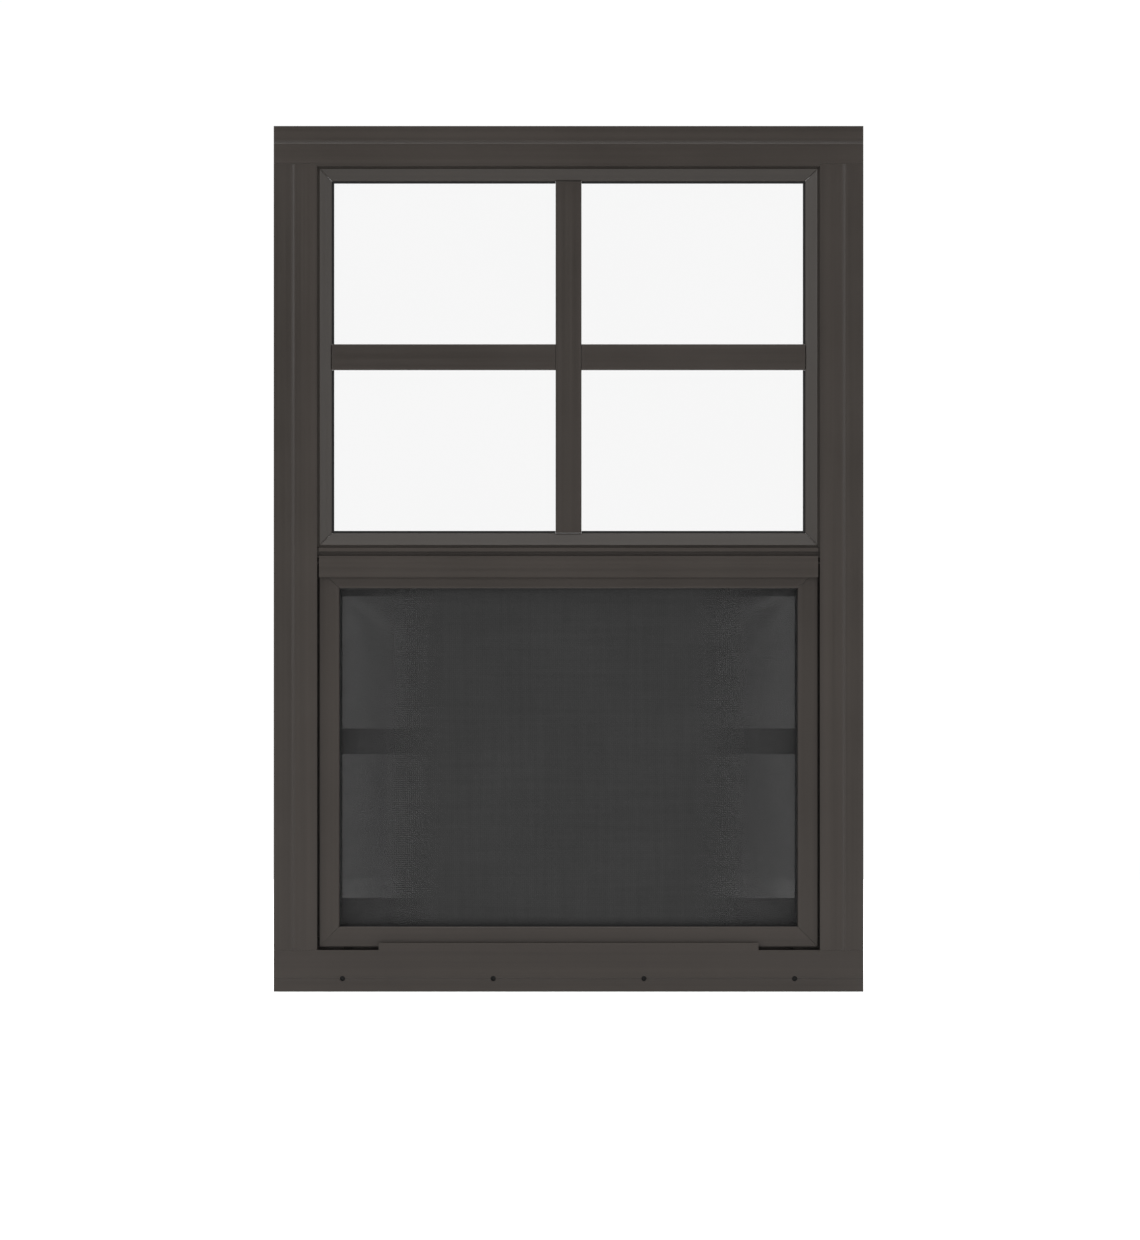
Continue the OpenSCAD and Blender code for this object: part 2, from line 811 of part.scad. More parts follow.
module top_rail_hook() {
    hook_y = leg_y1 + 0.4;
    strip(hook_y, top_rail_y0 + sash_wall, sash_z1 - sash_wall, sash_z1);
    strip(hook_y, hook_y + hook_t, sash_z1 - hook_h + 1, sash_z1);
}

module lower_glass() {
    color(clear_glass) pane(
        stile_x + lower_bite, lower_glass_y, lower_glass_y + glass_t,
        lite_z0 - lower_bite, lite_z1 + lower_bite
    );
}

module lower_gasket() {
    gasket(stile_x, lite_z0, lite_z1, lower_glass_y, lower_bite, -0.8);
}

module lower_muntin_vertical() {
    muntin_vertical(lite_z0 + slip, lite_z1 - slip, lite_mid_z + lower_muntin_rise, lower_glass_y);
}

module lower_muntin_horizontal() {
    muntin_horizontal(stile_x - slip, lite_mid_z + lower_muntin_rise, lower_glass_y);
}

// Pile strips on the stiles, 5 mm wide, that brush along the frame's legs
module sash_front_pile() {
    x = leg_x + 5.5;
    color(black_rubber) both_sides() along_z(sash_z0 + 2, sash_z1 - 2)
        strip(x, x + 5, leg_y1 + 0.3, sash_y0 - run);
}

module sash_back_pile() {
    x = room_leg_x + 2;
    color(black_rubber) both_sides() along_z(sash_z0 + 2, sash_z1 - 2)
        strip(x, x + 5, sash_y1 + run, room_y0 - 0.3);
}

module sash_foot_seal() {
    color(black_rubber) along_x(-rail_x, rail_x)
        strip(bolt_y - 3, bolt_y + 3, sash_floor_z + 0.3, sash_z0 - run);
}

// Blocks on the jambs' webs that stop the raised sash
module travel_stops() {
    z = sash_z1 + travel + 0.5;
    color(black_rubber) both_sides() translate([web_x - 9, sash_y0 + 1, z])
        cube([8.9, sash_t - 2, 16]);
}

// Latches ------------------------------------------------------------------

// The opening that a tab moves in, cut through a wall from y0 to y1
module tab_slot(y0, y1) {
    free = 0.3;
    translate([tab_x0 - bolt_in - free, y0, bolt_z - tab_h / 2 - free])
        cube([tab_w + bolt_in + bolt_out + 2 * free, y1 - y0, tab_h + 2 * free]);
}

module latch_housing() {
    half_h = bolt_r + 1.3;
    color(black_rubber) difference() {
        translate([housing_x0, sash_y0 + sash_wall + slip, bolt_z - half_h])
            cube([housing_l, sash_t - 2 * sash_wall - 2 * slip, 2 * half_h]);
        rod_x(housing_x0 + housing_back, housing_x1 + 1, bolt_r + run, [bolt_y, bolt_z]);
        rod_x(housing_x0 - 1, housing_x1, tail_r + run, [bolt_y, bolt_z]);
        tab_slot(bolt_y, sash_y1);
    }
}

module latch_bolt() {
    nose = 1.5;
    at = [bolt_y, bolt_z];
    pad = 2.5;
    color(zinc) {
        rod_x(shoulder_x, bolt_tip_x - nose, bolt_r, at);
        translate([bolt_tip_x - nose, bolt_y, bolt_z])
            rotate([0, 90, 0]) cylinder(h = nose, r1 = bolt_r, r2 = bolt_r - 1);
        rod_x(housing_x0 - 4, shoulder_x + 1, tail_r, at);
        translate([tab_x0, bolt_y, bolt_z - tab_h / 2]) cube([tab_w, tab_y1 - bolt_y, tab_h]);
        translate([tab_x0 - 2, tab_y1 - pad, bolt_z - tab_h / 2 - 2])
            cube([tab_w + 4, pad, tab_h + 4]);
    }
}

// Coil between the housing's back wall and the bolt's shoulder, swept as a tube
module latch_spring() {
    coil_r = (bolt_r + tail_r) / 2;
    free = 0.15;
    x0 = housing_x0 + housing_back + spring_wire_r + free;
    pitch = (shoulder_x - spring_wire_r - free - x0) / spring_turns;
    sides = 6;
    steps = 14;
    rings = spring_turns * steps;
    points = [for (i = [0:rings]) for (k = [0:sides - 1])
        let (turn = 360 * i / steps, side = 360 * k / sides, r = coil_r + spring_wire_r * cos(side))
        [x0 + pitch * i / steps + spring_wire_r * sin(side), bolt_y + r * cos(turn), bolt_z + r * sin(turn)]
    ];
    tube = [for (i = [0:rings - 1]) for (k = [0:sides - 1])
        let (a = i * sides + k, b = i * sides + (k + 1) % sides)
        [a, b, b + sides, a + sides]
    ];
    ends = [
        [for (k = [sides - 1:-1:0]) k],
        [for (k = [0:sides - 1]) rings * sides + k]
    ];
    color(zinc) polyhedron(points, concat(tube, ends));
}

module right_latch_housing() {
    latch_housing();
}

module left_latch_housing() {
    mirror([1, 0, 0]) latch_housing();
}

module right_latch_bolt() {
    latch_bolt();
}

module left_latch_bolt() {
    mirror([1, 0, 0]) latch_bolt();
}

module right_latch_spring() {
    latch_spring();
}

module left_latch_spring() {
    mirror([1, 0, 0]) latch_spring();
}

head();
sill();
left_jamb();
right_jamb();
frame_screws();
meeting_rail();
meeting_rail_screws();
upper_glass();
upper_gasket();
glazing_blocks();
top_bead();
bottom_bead();
left_bead();
right_bead();
upper_muntin_vertical();
upper_muntin_horizontal();
screen_top_rail();
screen_bottom_rail();
screen_left_stile();
screen_right_stile();
screen_corner_keys();
screen_cloth();
screen_spline();
sash_top_rail();
sash_bottom_rail();
sash_left_stile();
sash_right_stile();
sash_screws();
lower_glass();
lower_gasket();
lower_muntin_vertical();
lower_muntin_horizontal();
sash_front_pile();
sash_back_pile();
sash_foot_seal();
travel_stops();
left_latch_housing();
right_latch_housing();
left_latch_bolt();
right_latch_bolt();
left_latch_spring();
right_latch_spring();
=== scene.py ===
"""Looks of a painted aluminium sash window, laid out as a Blender add-on.

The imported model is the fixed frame. Operators give its pieces their finishes and
model the pieces that need finer shapes: the lipped gasket, the foam behind the
flange, the screen cloth and its spline, the screws, the brushed pile, the foot seal,
and the latches' bolts and springs.
"""

import math

import bpy
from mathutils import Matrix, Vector


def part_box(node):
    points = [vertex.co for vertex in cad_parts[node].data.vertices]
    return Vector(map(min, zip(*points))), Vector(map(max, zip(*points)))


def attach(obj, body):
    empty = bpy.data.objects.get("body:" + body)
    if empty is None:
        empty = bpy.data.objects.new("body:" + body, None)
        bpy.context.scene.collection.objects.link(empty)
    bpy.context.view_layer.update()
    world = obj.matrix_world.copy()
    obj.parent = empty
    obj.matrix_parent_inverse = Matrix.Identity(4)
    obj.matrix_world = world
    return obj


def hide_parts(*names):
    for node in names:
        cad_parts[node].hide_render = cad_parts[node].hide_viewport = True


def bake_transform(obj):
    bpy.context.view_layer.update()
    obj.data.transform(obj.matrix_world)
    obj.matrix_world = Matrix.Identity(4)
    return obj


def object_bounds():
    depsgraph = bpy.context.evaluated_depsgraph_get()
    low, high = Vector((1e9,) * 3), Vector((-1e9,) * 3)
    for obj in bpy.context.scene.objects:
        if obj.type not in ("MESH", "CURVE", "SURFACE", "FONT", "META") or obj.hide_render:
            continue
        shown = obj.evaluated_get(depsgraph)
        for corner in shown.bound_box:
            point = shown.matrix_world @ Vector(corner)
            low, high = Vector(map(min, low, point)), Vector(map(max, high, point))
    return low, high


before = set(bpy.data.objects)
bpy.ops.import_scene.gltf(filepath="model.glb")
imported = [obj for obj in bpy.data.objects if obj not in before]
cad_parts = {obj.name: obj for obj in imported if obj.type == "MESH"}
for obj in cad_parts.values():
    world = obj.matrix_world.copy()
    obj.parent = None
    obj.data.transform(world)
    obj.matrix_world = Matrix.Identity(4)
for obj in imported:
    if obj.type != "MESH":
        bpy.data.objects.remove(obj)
CAD_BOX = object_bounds()

bl_info = {
    "name": "Sash Window Finisher",
    "version": (1, 0, 0),
    "blender": (4, 5, 0),
    "location": "3D View > Sidebar > Sash Window",
    "description": "Finishes and fine pieces of a single-hung sash window",
    "category": "Object",
}

MM = 0.001
NEAR = 0.01 * MM  # two places this near are one

# The bodies of the model
FRAME = "window_frame"
SASH = "lower_sash"

# Nodes that are aluminium profiles, by the way their grain runs
GRAIN_X = ("head", "sill", "meeting_rail", "upper_muntin_horizontal")
GRAIN_Z = ("left_jamb", "right_jamb", "upper_muntin_vertical")
BEADS_X = ("top_bead", "bottom_bead")
BEADS_Z = ("left_bead", "right_bead")
SCREEN_X = ("screen_top_rail", "screen_bottom_rail")
SCREEN_Z = ("screen_left_stile", "screen_right_stile")
SASH_X = ("sash_top_rail", "sash_bottom_rail", "lower_muntin_horizontal")
SASH_Z = ("sash_left_stile", "sash_right_stile", "lower_muntin_vertical")


# Sizes and colours --------------------------------------------------------------


class PaintSettings(bpy.types.PropertyGroup):
    frame_colour: bpy.props.FloatVectorProperty(
        name="Frame paint", description="Paint of the frame, the screen and the sash",
        subtype="COLOR", size=3, min=0, max=1, default=(0.0320, 0.0266, 0.0229))
    bead_colour: bpy.props.FloatVectorProperty(
        name="Bead paint", description="Paint of the four glazing beads",
        subtype="COLOR", size=3, min=0, max=1, default=(0.0305, 0.0255, 0.0215))
    roughness: bpy.props.FloatProperty(
        name="Roughness", description="How matt the paint is",
        subtype="FACTOR", min=0, max=1, default=0.44)
    edge: bpy.props.FloatProperty(
        name="Edge radius", description="How far the profiles' edges are rounded",
        unit="LENGTH", min=0, max=1 * MM, precision=5, default=0.3 * MM)


class ScreenSettings(bpy.types.PropertyGroup):
    cloth_colour: bpy.props.FloatVectorProperty(
        name="Cloth", description="Colour of the coated yarn",
        subtype="COLOR", size=3, min=0, max=1, default=(0.0162, 0.0162, 0.0162))
    pitch: bpy.props.FloatProperty(
        name="Weave pitch", description="Distance between two yarns",
        unit="LENGTH", min=0.8 * MM, max=3 * MM, precision=5, default=1.6 * MM)
    cover: bpy.props.FloatProperty(
        name="Yarn width", description="Width of a yarn as a share of the pitch",
        subtype="FACTOR", min=0.2, max=0.98, default=0.90)
    thickness: bpy.props.FloatProperty(
        name="Cloth thickness", description="Thickness of the woven cloth",
        unit="LENGTH", min=0.1 * MM, max=0.6 * MM, precision=5, default=0.26 * MM)
    ripple: bpy.props.FloatProperty(
        name="Ripple", description="Height of the tension folds at the cloth's corners",
        unit="LENGTH", min=0, max=2 * MM, precision=5, default=0.7 * MM)


class HardwareSettings(bpy.types.PropertyGroup):
    zinc: bpy.props.FloatVectorProperty(
        name="Zinc", description="Colour of the plated screws",
        subtype="COLOR", size=3, min=0, max=1, default=(0.55, 0.55, 0.56))
    steel: bpy.props.FloatVectorProperty(
        name="Steel", description="Colour of the latch bolts and springs",
        subtype="COLOR", size=3, min=0, max=1, default=(0.36, 0.36, 0.37))
    rubber: bpy.props.FloatVectorProperty(
        name="Rubber", description="Colour of gaskets, seals and stops",
        subtype="COLOR", size=3, min=0, max=1, default=(0.012, 0.012, 0.012))
    nylon: bpy.props.FloatVectorProperty(
        name="Nylon", description="Colour of the latch housings and corner keys",
        subtype="COLOR", size=3, min=0, max=1, default=(0.016, 0.016, 0.017))
    thread_pitch: bpy.props.FloatProperty(
        name="Thread pitch", description="Pitch of the screws' threads",
        unit="LENGTH", min=0.5 * MM, max=2 * MM, precision=5, default=1.2 * MM)


class StageSettings(bpy.types.PropertyGroup):
    distance: bpy.props.FloatProperty(
        name="Camera distance", description="From the wall plane to the camera",
        unit="LENGTH", min=1, max=10, default=5.0)
    view_width: bpy.props.FloatProperty(
        name="View width", description="Width that the camera sees in the wall plane",
        unit="LENGTH", min=0.4, max=3, default=0.9457)
    key: bpy.props.FloatProperty(
        name="Key light", description="Power of the soft key light",
        unit="POWER", min=0, max=500, default=40)
    fill: bpy.props.FloatProperty(
        name="Fill light", description="Power of the soft fill light",
        unit="POWER", min=0, max=500, default=25)
    rear: bpy.props.FloatProperty(
        name="Rear light", description="Power of the soft light behind the window",
        unit="POWER", min=0, max=500, default=28)
    top: bpy.props.FloatProperty(
        name="Top light", description="Power of the soft light overhead",
        unit="POWER", min=0, max=500, default=70)
    ambient: bpy.props.FloatProperty(
        name="Ambient light", description="Brightness of the surroundings as a light",
        min=0, max=2, default=0.27)
    glow: bpy.props.FloatProperty(
        name="Floor glow", description="Light that the pale floor gives back of its own",
        min=0, max=2, default=0.50)


# Shader maths -------------------------------------------------------------------


class Value:
    """A number socket that is reckoned with like a number."""

    def __init__(self, finish, socket):
        self.finish, self.socket = finish, socket

    def math(self, operation, *others, swap=False):
        values = [self, *others]
        if swap:
            values.reverse()
        node = self.finish.add(
            "ShaderNodeMath", {"operation": operation}, dict(enumerate(values)))
        return Value(self.finish, node.outputs[0])

    def __add__(self, other):
        return self.math("ADD", other)

    def __sub__(self, other):
        return self.math("SUBTRACT", other)

    def __rsub__(self, other):
        return self.math("SUBTRACT", other, swap=True)

    def __mul__(self, other):
        return self.math("MULTIPLY", other)

    def __truediv__(self, other):
        return self.math("DIVIDE", other)

    def above(self, low, span):
        """0 up to low, then rising to 1 over span."""
        return ((self - low) / span).math("MINIMUM", 1.0).math("MAXIMUM", 0.0)


class Finish:
    """A material on object coordinates, made node by node."""

    def __init__(self, name, colour, **constants):
        self.material = bpy.data.materials.new(name)
        self.material.use_nodes = True
        self.material.diffuse_color = (*colour, 1)
        self.tree = self.material.node_tree
        self.shader = self.tree.nodes["Principled BSDF"]
        self.set(Base_Color=(*colour, 1), **constants)
        self.place = self.add("ShaderNodeTexCoord").outputs["Object"]

    def add(self, kind, settings=None, inputs=None):
        """A node of a type, with its settings made first and then its sockets."""
        node = self.tree.nodes.new(kind)
        for name, value in (settings or {}).items():
            if name == "stops":
                ramp = node.color_ramp
                while len(ramp.elements) < len(value):
                    ramp.elements.new(1)
                for element, (at, tone) in zip(ramp.elements, value):
                    element.position, element.color = at, tone
            else:
                setattr(node, name, value)
        for key, value in (inputs or {}).items():
            self.feed(node.inputs[key], value)
        return node

    def feed(self, socket, value):
        if isinstance(value, Value):
            value = value.socket
        if isinstance(value, bpy.types.NodeSocket):
            self.tree.links.new(value, socket)
        else:
            socket.default_value = value

    def set(self, **sockets):
        """Sets or links the shader's own sockets, named with _ for each blank."""
        for name, value in sockets.items():
            self.feed(self.shader.inputs[name.replace("_", " ")], value)

    def stretched(self, scale):
        """Object coordinates, scaled along each axis."""
        return self.add(
            "ShaderNodeMapping", None,
            {"Vector": self.place, "Scale": scale}).outputs[0]

    def noise(self, scale, detail=2.0, roughness=0.5, where=None):
        node = self.add(
            "ShaderNodeTexNoise", None,
            {"Vector": where or self.place, "Scale": scale,
             "Detail": detail, "Roughness": roughness})
        return Value(self, node.outputs[0])

    def axes(self):
        """The object coordinates as three numbers."""
        node = self.add("ShaderNodeSeparateXYZ", None, {"Vector": self.place})
        return [Value(self, socket) for socket in node.outputs]

    def mix(self, factor, low, high):
        """A colour between two colours."""
        node = self.add(
            "ShaderNodeMix", {"data_type": "RGBA"},
            {0: factor, 6: (*low, 1), 7: (*high, 1)})
        return node.outputs[2]

    def bump(self, height, depth, strength=1.0):
        """A surface relief; depth is the relief's height in metres."""
        node = self.add(
            "ShaderNodeBump", None,
            {"Height": height, "Distance": depth, "Strength": strength})
        self.set(Normal=node.outputs[0])


def shade(colour, share):
    return tuple(min(1.0, c * share) for c in colour)


# Finishes -----------------------------------------------------------------------


def paint(name, colour, roughness, along):
    """Satin paint on an extrusion whose die lines run along X or Z."""
    made = Finish(name, colour, Specular_IOR_Level=0.26, IOR=1.5)
    slow, fast = 3.0, 420.0
    across = {"x": (slow, fast, fast), "z": (fast, fast, slow)}[along]
    lines = made.noise(1.0, 4.0, 0.65, where=made.stretched(across))
    broad = made.noise(
        1.0, 1.0, where=made.stretched(tuple(s / 4 for s in across)))
    cloud = made.noise(11.0, 3.0)
    peel = made.noise(900.0, 1.0)
    tone = (lines * 0.35 + broad * 0.4 + cloud * 0.25).above(0.33, 0.34)
    made.set(
        Base_Color=made.mix(tone, shade(colour, 0.82), shade(colour, 1.18)),
        Roughness=(lines - 0.5) * 0.3 + (cloud - 0.5) * 0.2 + roughness)
    made.bump(lines * 0.6 + peel * 0.4, 0.02 * MM, 0.5)
    return made.material


def glass(name):
    """A clear pane: a faint even mirror that lets nearly all the light straight on."""
    silver = (0.42, 0.44, 0.43)
    made = Finish(name, silver, Metallic=1.0)
    cloud = made.noise(6.0, 2.0)
    made.set(
        Base_Color=made.mix(cloud, silver, shade(silver, 0.9)),
        Roughness=cloud * 0.02,
        Alpha=cloud * 0.008 + 0.049)
    return made.material


def rubber(name, colour):
    """Extruded rubber: matt, with a dusty bloom."""
    made = Finish(name, colour, Specular_IOR_Level=0.22)
    bloom = made.noise(60.0, 4.0, 0.7)
    made.set(
        Base_Color=made.mix(bloom, shade(colour, 0.5), shade(colour, 1.5)),
        Roughness=bloom * 0.2 + 0.6)
    made.bump(made.noise(2500.0, 2.0), 0.03 * MM, 0.6)
    return made.material


def foam(name, colour):
    """Closed-cell foam: matt, with small pits."""
    made = Finish(name, colour, Specular_IOR_Level=0.2)
    cells = made.add(
        "ShaderNodeTexVoronoi", {"feature": "F1"},
        {"Vector": made.place, "Scale": 1400.0})
    pits = Value(made, cells.outputs["Distance"])
    cloud = made.noise(30.0, 2.0)
    made.set(
        Base_Color=made.mix(
            pits * 0.6 + cloud * 0.4, shade(colour, 0.7), shade(colour, 1.8)),
        Roughness=cloud * 0.1 + 0.85)
    made.bump(pits, 0.1 * MM, 0.7)
    return made.material


def nylon(name, colour):
    """Moulded nylon with a fine spark-eroded grain."""
    made = Finish(name, colour, Specular_IOR_Level=0.45)
    grain = made.noise(1800.0, 3.0, 0.6)
    cloud = made.noise(40.0, 2.0)
    made.set(
        Base_Color=made.mix(cloud, shade(colour, 0.8), shade(colour, 1.4)),
        Roughness=grain * 0.2 + 0.38)
    made.bump(grain, 0.04 * MM, 0.5)
    return made.material


def metal(name, colour, roughness, scale):
    """Plated or drawn metal; scale draws the grain out along an axis."""
    made = Finish(name, colour, Metallic=1.0)
    grain = made.noise(1.0, 3.0, 0.6, where=made.stretched(scale))
    cloud = made.noise(120.0, 3.0)
    made.set(
        Base_Color=made.mix(
            grain * 0.6 + cloud * 0.4, shade(colour, 0.72), shade(colour, 1.2)),
        Roughness=grain * 0.22 + cloud * 0.1 + roughness)
    made.bump(grain, 0.02 * MM, 0.4)
    return made.material


def woven(name, colour, pitch, cover, low, high):
    """Plain weave of coated yarn with a small hole between the yarns.

    low and high are the corners of the opening that it fills: towards the sides the
    cloth lets more of the white surroundings through over a darker yarn, a painted sheen
    that lightens the sides. It has painted shade in a dark band along the edges where it
    dips in behind the bars, and it grows darker towards its foot.
    """
    made = Finish(name, colour, Specular_IOR_Level=0.28)
    x, _, z = made.axes()

    def from_yarn(place):
        """Distance from the middle of the nearest yarn, as a share of the pitch."""
        return ((place / pitch).math("FRACT") - 0.5).math("ABSOLUTE")

    def back(off):
        """A yarn's round back: 1 on its middle and 0 at its edge."""
        edge = off * (2 / cover)
        return 1 - edge * edge

    off_x, off_z = from_yarn(x), from_yarn(z)
    turn = math.pi / pitch
    over = (x * turn).math("SINE") * (z * turn).math("SINE") * 0.6
    height = (back(off_x) + over).math("MAXIMUM", back(off_z) - over)

    from_side = (high.x - low.x) / 2 - (x - (high.x + low.x) / 2).math("ABSOLUTE")
    from_foot = z - low.z
    from_top = high.z - z
    # Painted sheen: 1 towards the sides, where the cloth lets more white through and looks
    # lighter
    side_sheen = 1 - from_side.above(6 * MM, 85 * MM)
    # Painted shade: the cloth grows darker towards the foot of the opening
    foot_shade = 1 - from_foot.above(1 * MM, 7 * MM)
    # Painted shade: 0 in a dark band along the sides, the top and the foot of the opening,
    # 1 inside it
    outside_edge_shade = from_side.above(1.9 * MM, 1.0 * MM).math(
        "MINIMUM", from_top.above(1.0 * MM, 0.8 * MM)).math(
        "MINIMUM", from_foot.above(0.7 * MM, 1.2 * MM))

    # Each face of the cloth lets this share through at the sides, under the painted sheen,
    # and elsewhere
    sheen_clear, least_clear = 0.18, 0.115
    widened, feather = side_sheen * 0.86, 0.04
    gap = (off_x + widened).above(cover / 2, feather) * (
        off_z + widened).above(cover / 2, feather)

    long, short = 240.0, 9.0
    slub_x = made.noise(1.0, 3.0, where=made.stretched((long, 1.0, short)))
    slub_z = made.noise(1.0, 3.0, where=made.stretched((short, 1.0, long)))
    cloud = made.noise(13.0, 3.0)
    yarn = (slub_x * 0.3 + slub_z * 0.3 + cloud * 0.4).above(0.32, 0.36)
    # Under the painted sheen the yarn is darker, and painted shade darkens it towards the
    # foot
    tone = (yarn * 0.22 - side_sheen * side_sheen * 0.14 + 0.28) * (1 - foot_shade * 0.6)
    # The base colour carries the painted shade along the opening's edges
    made.set(
        Base_Color=made.mix(tone * outside_edge_shade, shade(colour, 0.2), shade(colour, 2.3)),
        Roughness=height * -0.12 + 0.62,
        Alpha=1 - gap * (side_sheen * sheen_clear).math("MAXIMUM", least_clear))
    made.bump(height * 0.7 + tone * 0.3, 0.10 * MM, 0.5)
    return made.material


def pile(name):
    """Brushed grey fibre."""
    colour = (0.10, 0.10, 0.10)
    made = Finish(name, colour, Sheen_Weight=0.4, Sheen_Roughness=0.4)
    fibre = made.noise(1.0, 3.0, where=made.stretched((2600.0, 2600.0, 2600.0)))
    made.set(
        Base_Color=made.mix(fibre, shade(colour, 0.4), shade(colour, 1.7)),
        Roughness=fibre * 0.2 + 0.75)
    made.bump(fibre, 0.1 * MM, 0.8)
    return made.material


def finish_nodes(material, *nodes):
    for name in nodes:
        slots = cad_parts[name].data.materials
        slots.clear()
        slots.append(material)


def soften(width, *nodes, segments=2):
    """Rounds the edges of profiles: merges the mesh, joins its flats, bevels them."""
    for name in nodes:
        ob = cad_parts[name]
        merge = ob.modifiers.new("Merge", "WELD")
        merge.merge_threshold = NEAR
        flats = ob.modifiers.new("Flats", "DECIMATE")
        flats.decimate_type = "DISSOLVE"
        flats.angle_limit = math.radians(0.5)
        edges = ob.modifiers.new("Edges", "BEVEL")
        edges.width, edges.segments = width, segments
        edges.limit_method = "ANGLE"
        edges.angle_limit = math.radians(32)
        edges.miter_outer = "MITER_ARC"


# Modelling by hand --------------------------------------------------------------


def deselect():
    if bpy.context.object and bpy.context.object.mode != "OBJECT":
        leave()
    bpy.ops.object.select_all(action="DESELECT")


def only(ob):
    """Makes one object the selected and active one."""
    deselect()
    ob.select_set(True)
    bpy.context.view_layer.objects.active = ob


def edit(kind="FACE", action="DESELECT"):
    bpy.ops.object.mode_set(mode="EDIT")
    bpy.ops.mesh.select_mode(type=kind)
    bpy.ops.mesh.select_all(action=action)


def leave():
    bpy.ops.object.mode_set(mode="OBJECT")


def apply_place():
    bpy.ops.object.transform_apply(location=True, rotation=True, scale=True)


def pick(ob, edge=None, face=None):
    """In edit mode, selects the edges whose ends pass, or the faces whose normal does."""
    leave()
    me = ob.data
    for group in (me.vertices, me.edges, me.polygons):
        group.foreach_set("select", [False] * len(group))
    for e in me.edges if edge else ():
        e.select = all(edge(me.vertices[i].co) for i in e.vertices)
    for f in me.polygons if face else ():
        f.select = face(f.normal)
    bpy.ops.object.mode_set(mode="EDIT")
    bpy.ops.mesh.select_mode(type="EDGE" if edge else "FACE")


def bevel(ob, test, offset, segments, profile=0.5):
    """Rounds the edges whose ends pass the test."""
    pick(ob, edge=test)
    bpy.ops.mesh.bevel(offset=offset, segments=segments, profile=profile)
    leave()


def taper(ob, way, scale, reach=0.0, shift=(0, 0, 0)):
    """Draws the end that looks a given way out by reach, then scales and shifts it."""
    way = Vector(way)
    pick(ob, face=lambda normal: normal.dot(way) > 0.9)
    if reach:
        bpy.ops.mesh.extrude_region_move(
            TRANSFORM_OT_translate={"value": tuple(way * reach)})
    bpy.ops.transform.resize(value=scale)
    if any(shift):
        bpy.ops.transform.translate(value=shift)
    leave()


def mend(ob, merge=0.0, close=False):
    """Merges near corners, closes open ends and turns all faces outwards."""
    only(ob)
    edit("EDGE", "SELECT")
    if merge:
        bpy.ops.mesh.remove_doubles(threshold=merge)
    if close:
        bpy.ops.mesh.fill_holes(sides=0)
    bpy.ops.mesh.normals_make_consistent(inside=False)
    leave()


def block(name, low, high):
    """A box between two corners, to be shaped further."""
    deselect()
    low, high = Vector(low), Vector(high)
    bpy.ops.mesh.primitive_cube_add(size=1, location=(low + high) / 2)
    ob = bpy.context.object
    ob.name, ob.scale = name, high - low
    apply_place()
    return ob


def rod(name, start, length, radius, sides=32):
    """A closed rod along +X from a point, to be shaped further."""
    deselect()
    start = Vector(start)
    bpy.ops.mesh.primitive_cylinder_add(
        vertices=sides, radius=radius, depth=length,
        location=start + Vector((length / 2, 0, 0)), rotation=(0, math.pi / 2, 0))
    ob = bpy.context.object
    ob.name = name
    apply_place()
    return ob


def modify(ob, kind, **settings):
    """Adds a modifier, sets it and applies it."""
    only(ob)
    made = ob.modifiers.new(kind.title(), kind)
    for name, value in settings.items():
        setattr(made, name, value)
    bpy.ops.object.modifier_apply(modifier=made.name)


def wind(ob, pitch, turns, steps):
    """Sweeps an outline round the X axis into a helix."""
    modify(
        ob, "SCREW", axis="X", angle=2 * math.pi, screw_offset=pitch,
        iterations=turns, steps=steps, render_steps=steps, use_smooth_shade=False)


def join(name, parts):
    """Joins parts into the first one."""
    only(parts[0])
    for part in parts:
        part.select_set(True)
    if len(parts) > 1:
        bpy.ops.object.join()
    ob = bpy.context.object
    ob.name = ob.data.name = name
    return ob


def copy_to(ob, name, place=(0, 0, 0), mirrored=False):
    """A copy with its own mesh, moved into place or mirrored to the left side."""
    new = ob.copy()
    new.data = ob.data.copy()
    new.name = name
    bpy.context.scene.collection.objects.link(new)
    new.location = place
    if mirrored:
        new.scale = (-1, 1, 1)
    only(new)
    apply_place()
    if mirrored:
        mend(new)
    return new


def remove(ob):
    bpy.data.objects.remove(ob)


def smooth(ob, degrees=35):
    only(ob)
    bpy.ops.object.shade_smooth_by_angle(angle=math.radians(degrees))


def settle(ob, material, body, slot, *replaced):
    """Gives a new piece its finish, its body and the nodes that it stands for.

    A piece that has None as its body is not attached to any body.
    """
    ob.data.materials.clear()
    ob.data.materials.append(material)
    if body:
        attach(ob, body)
    if replaced:
        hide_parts(*replaced)
    return ob


def centre(ob):
    """The middle of a piece's corners."""
    return sum((Vector(c) for c in ob.bound_box), Vector()) / 8


# Pieces -------------------------------------------------------------------------


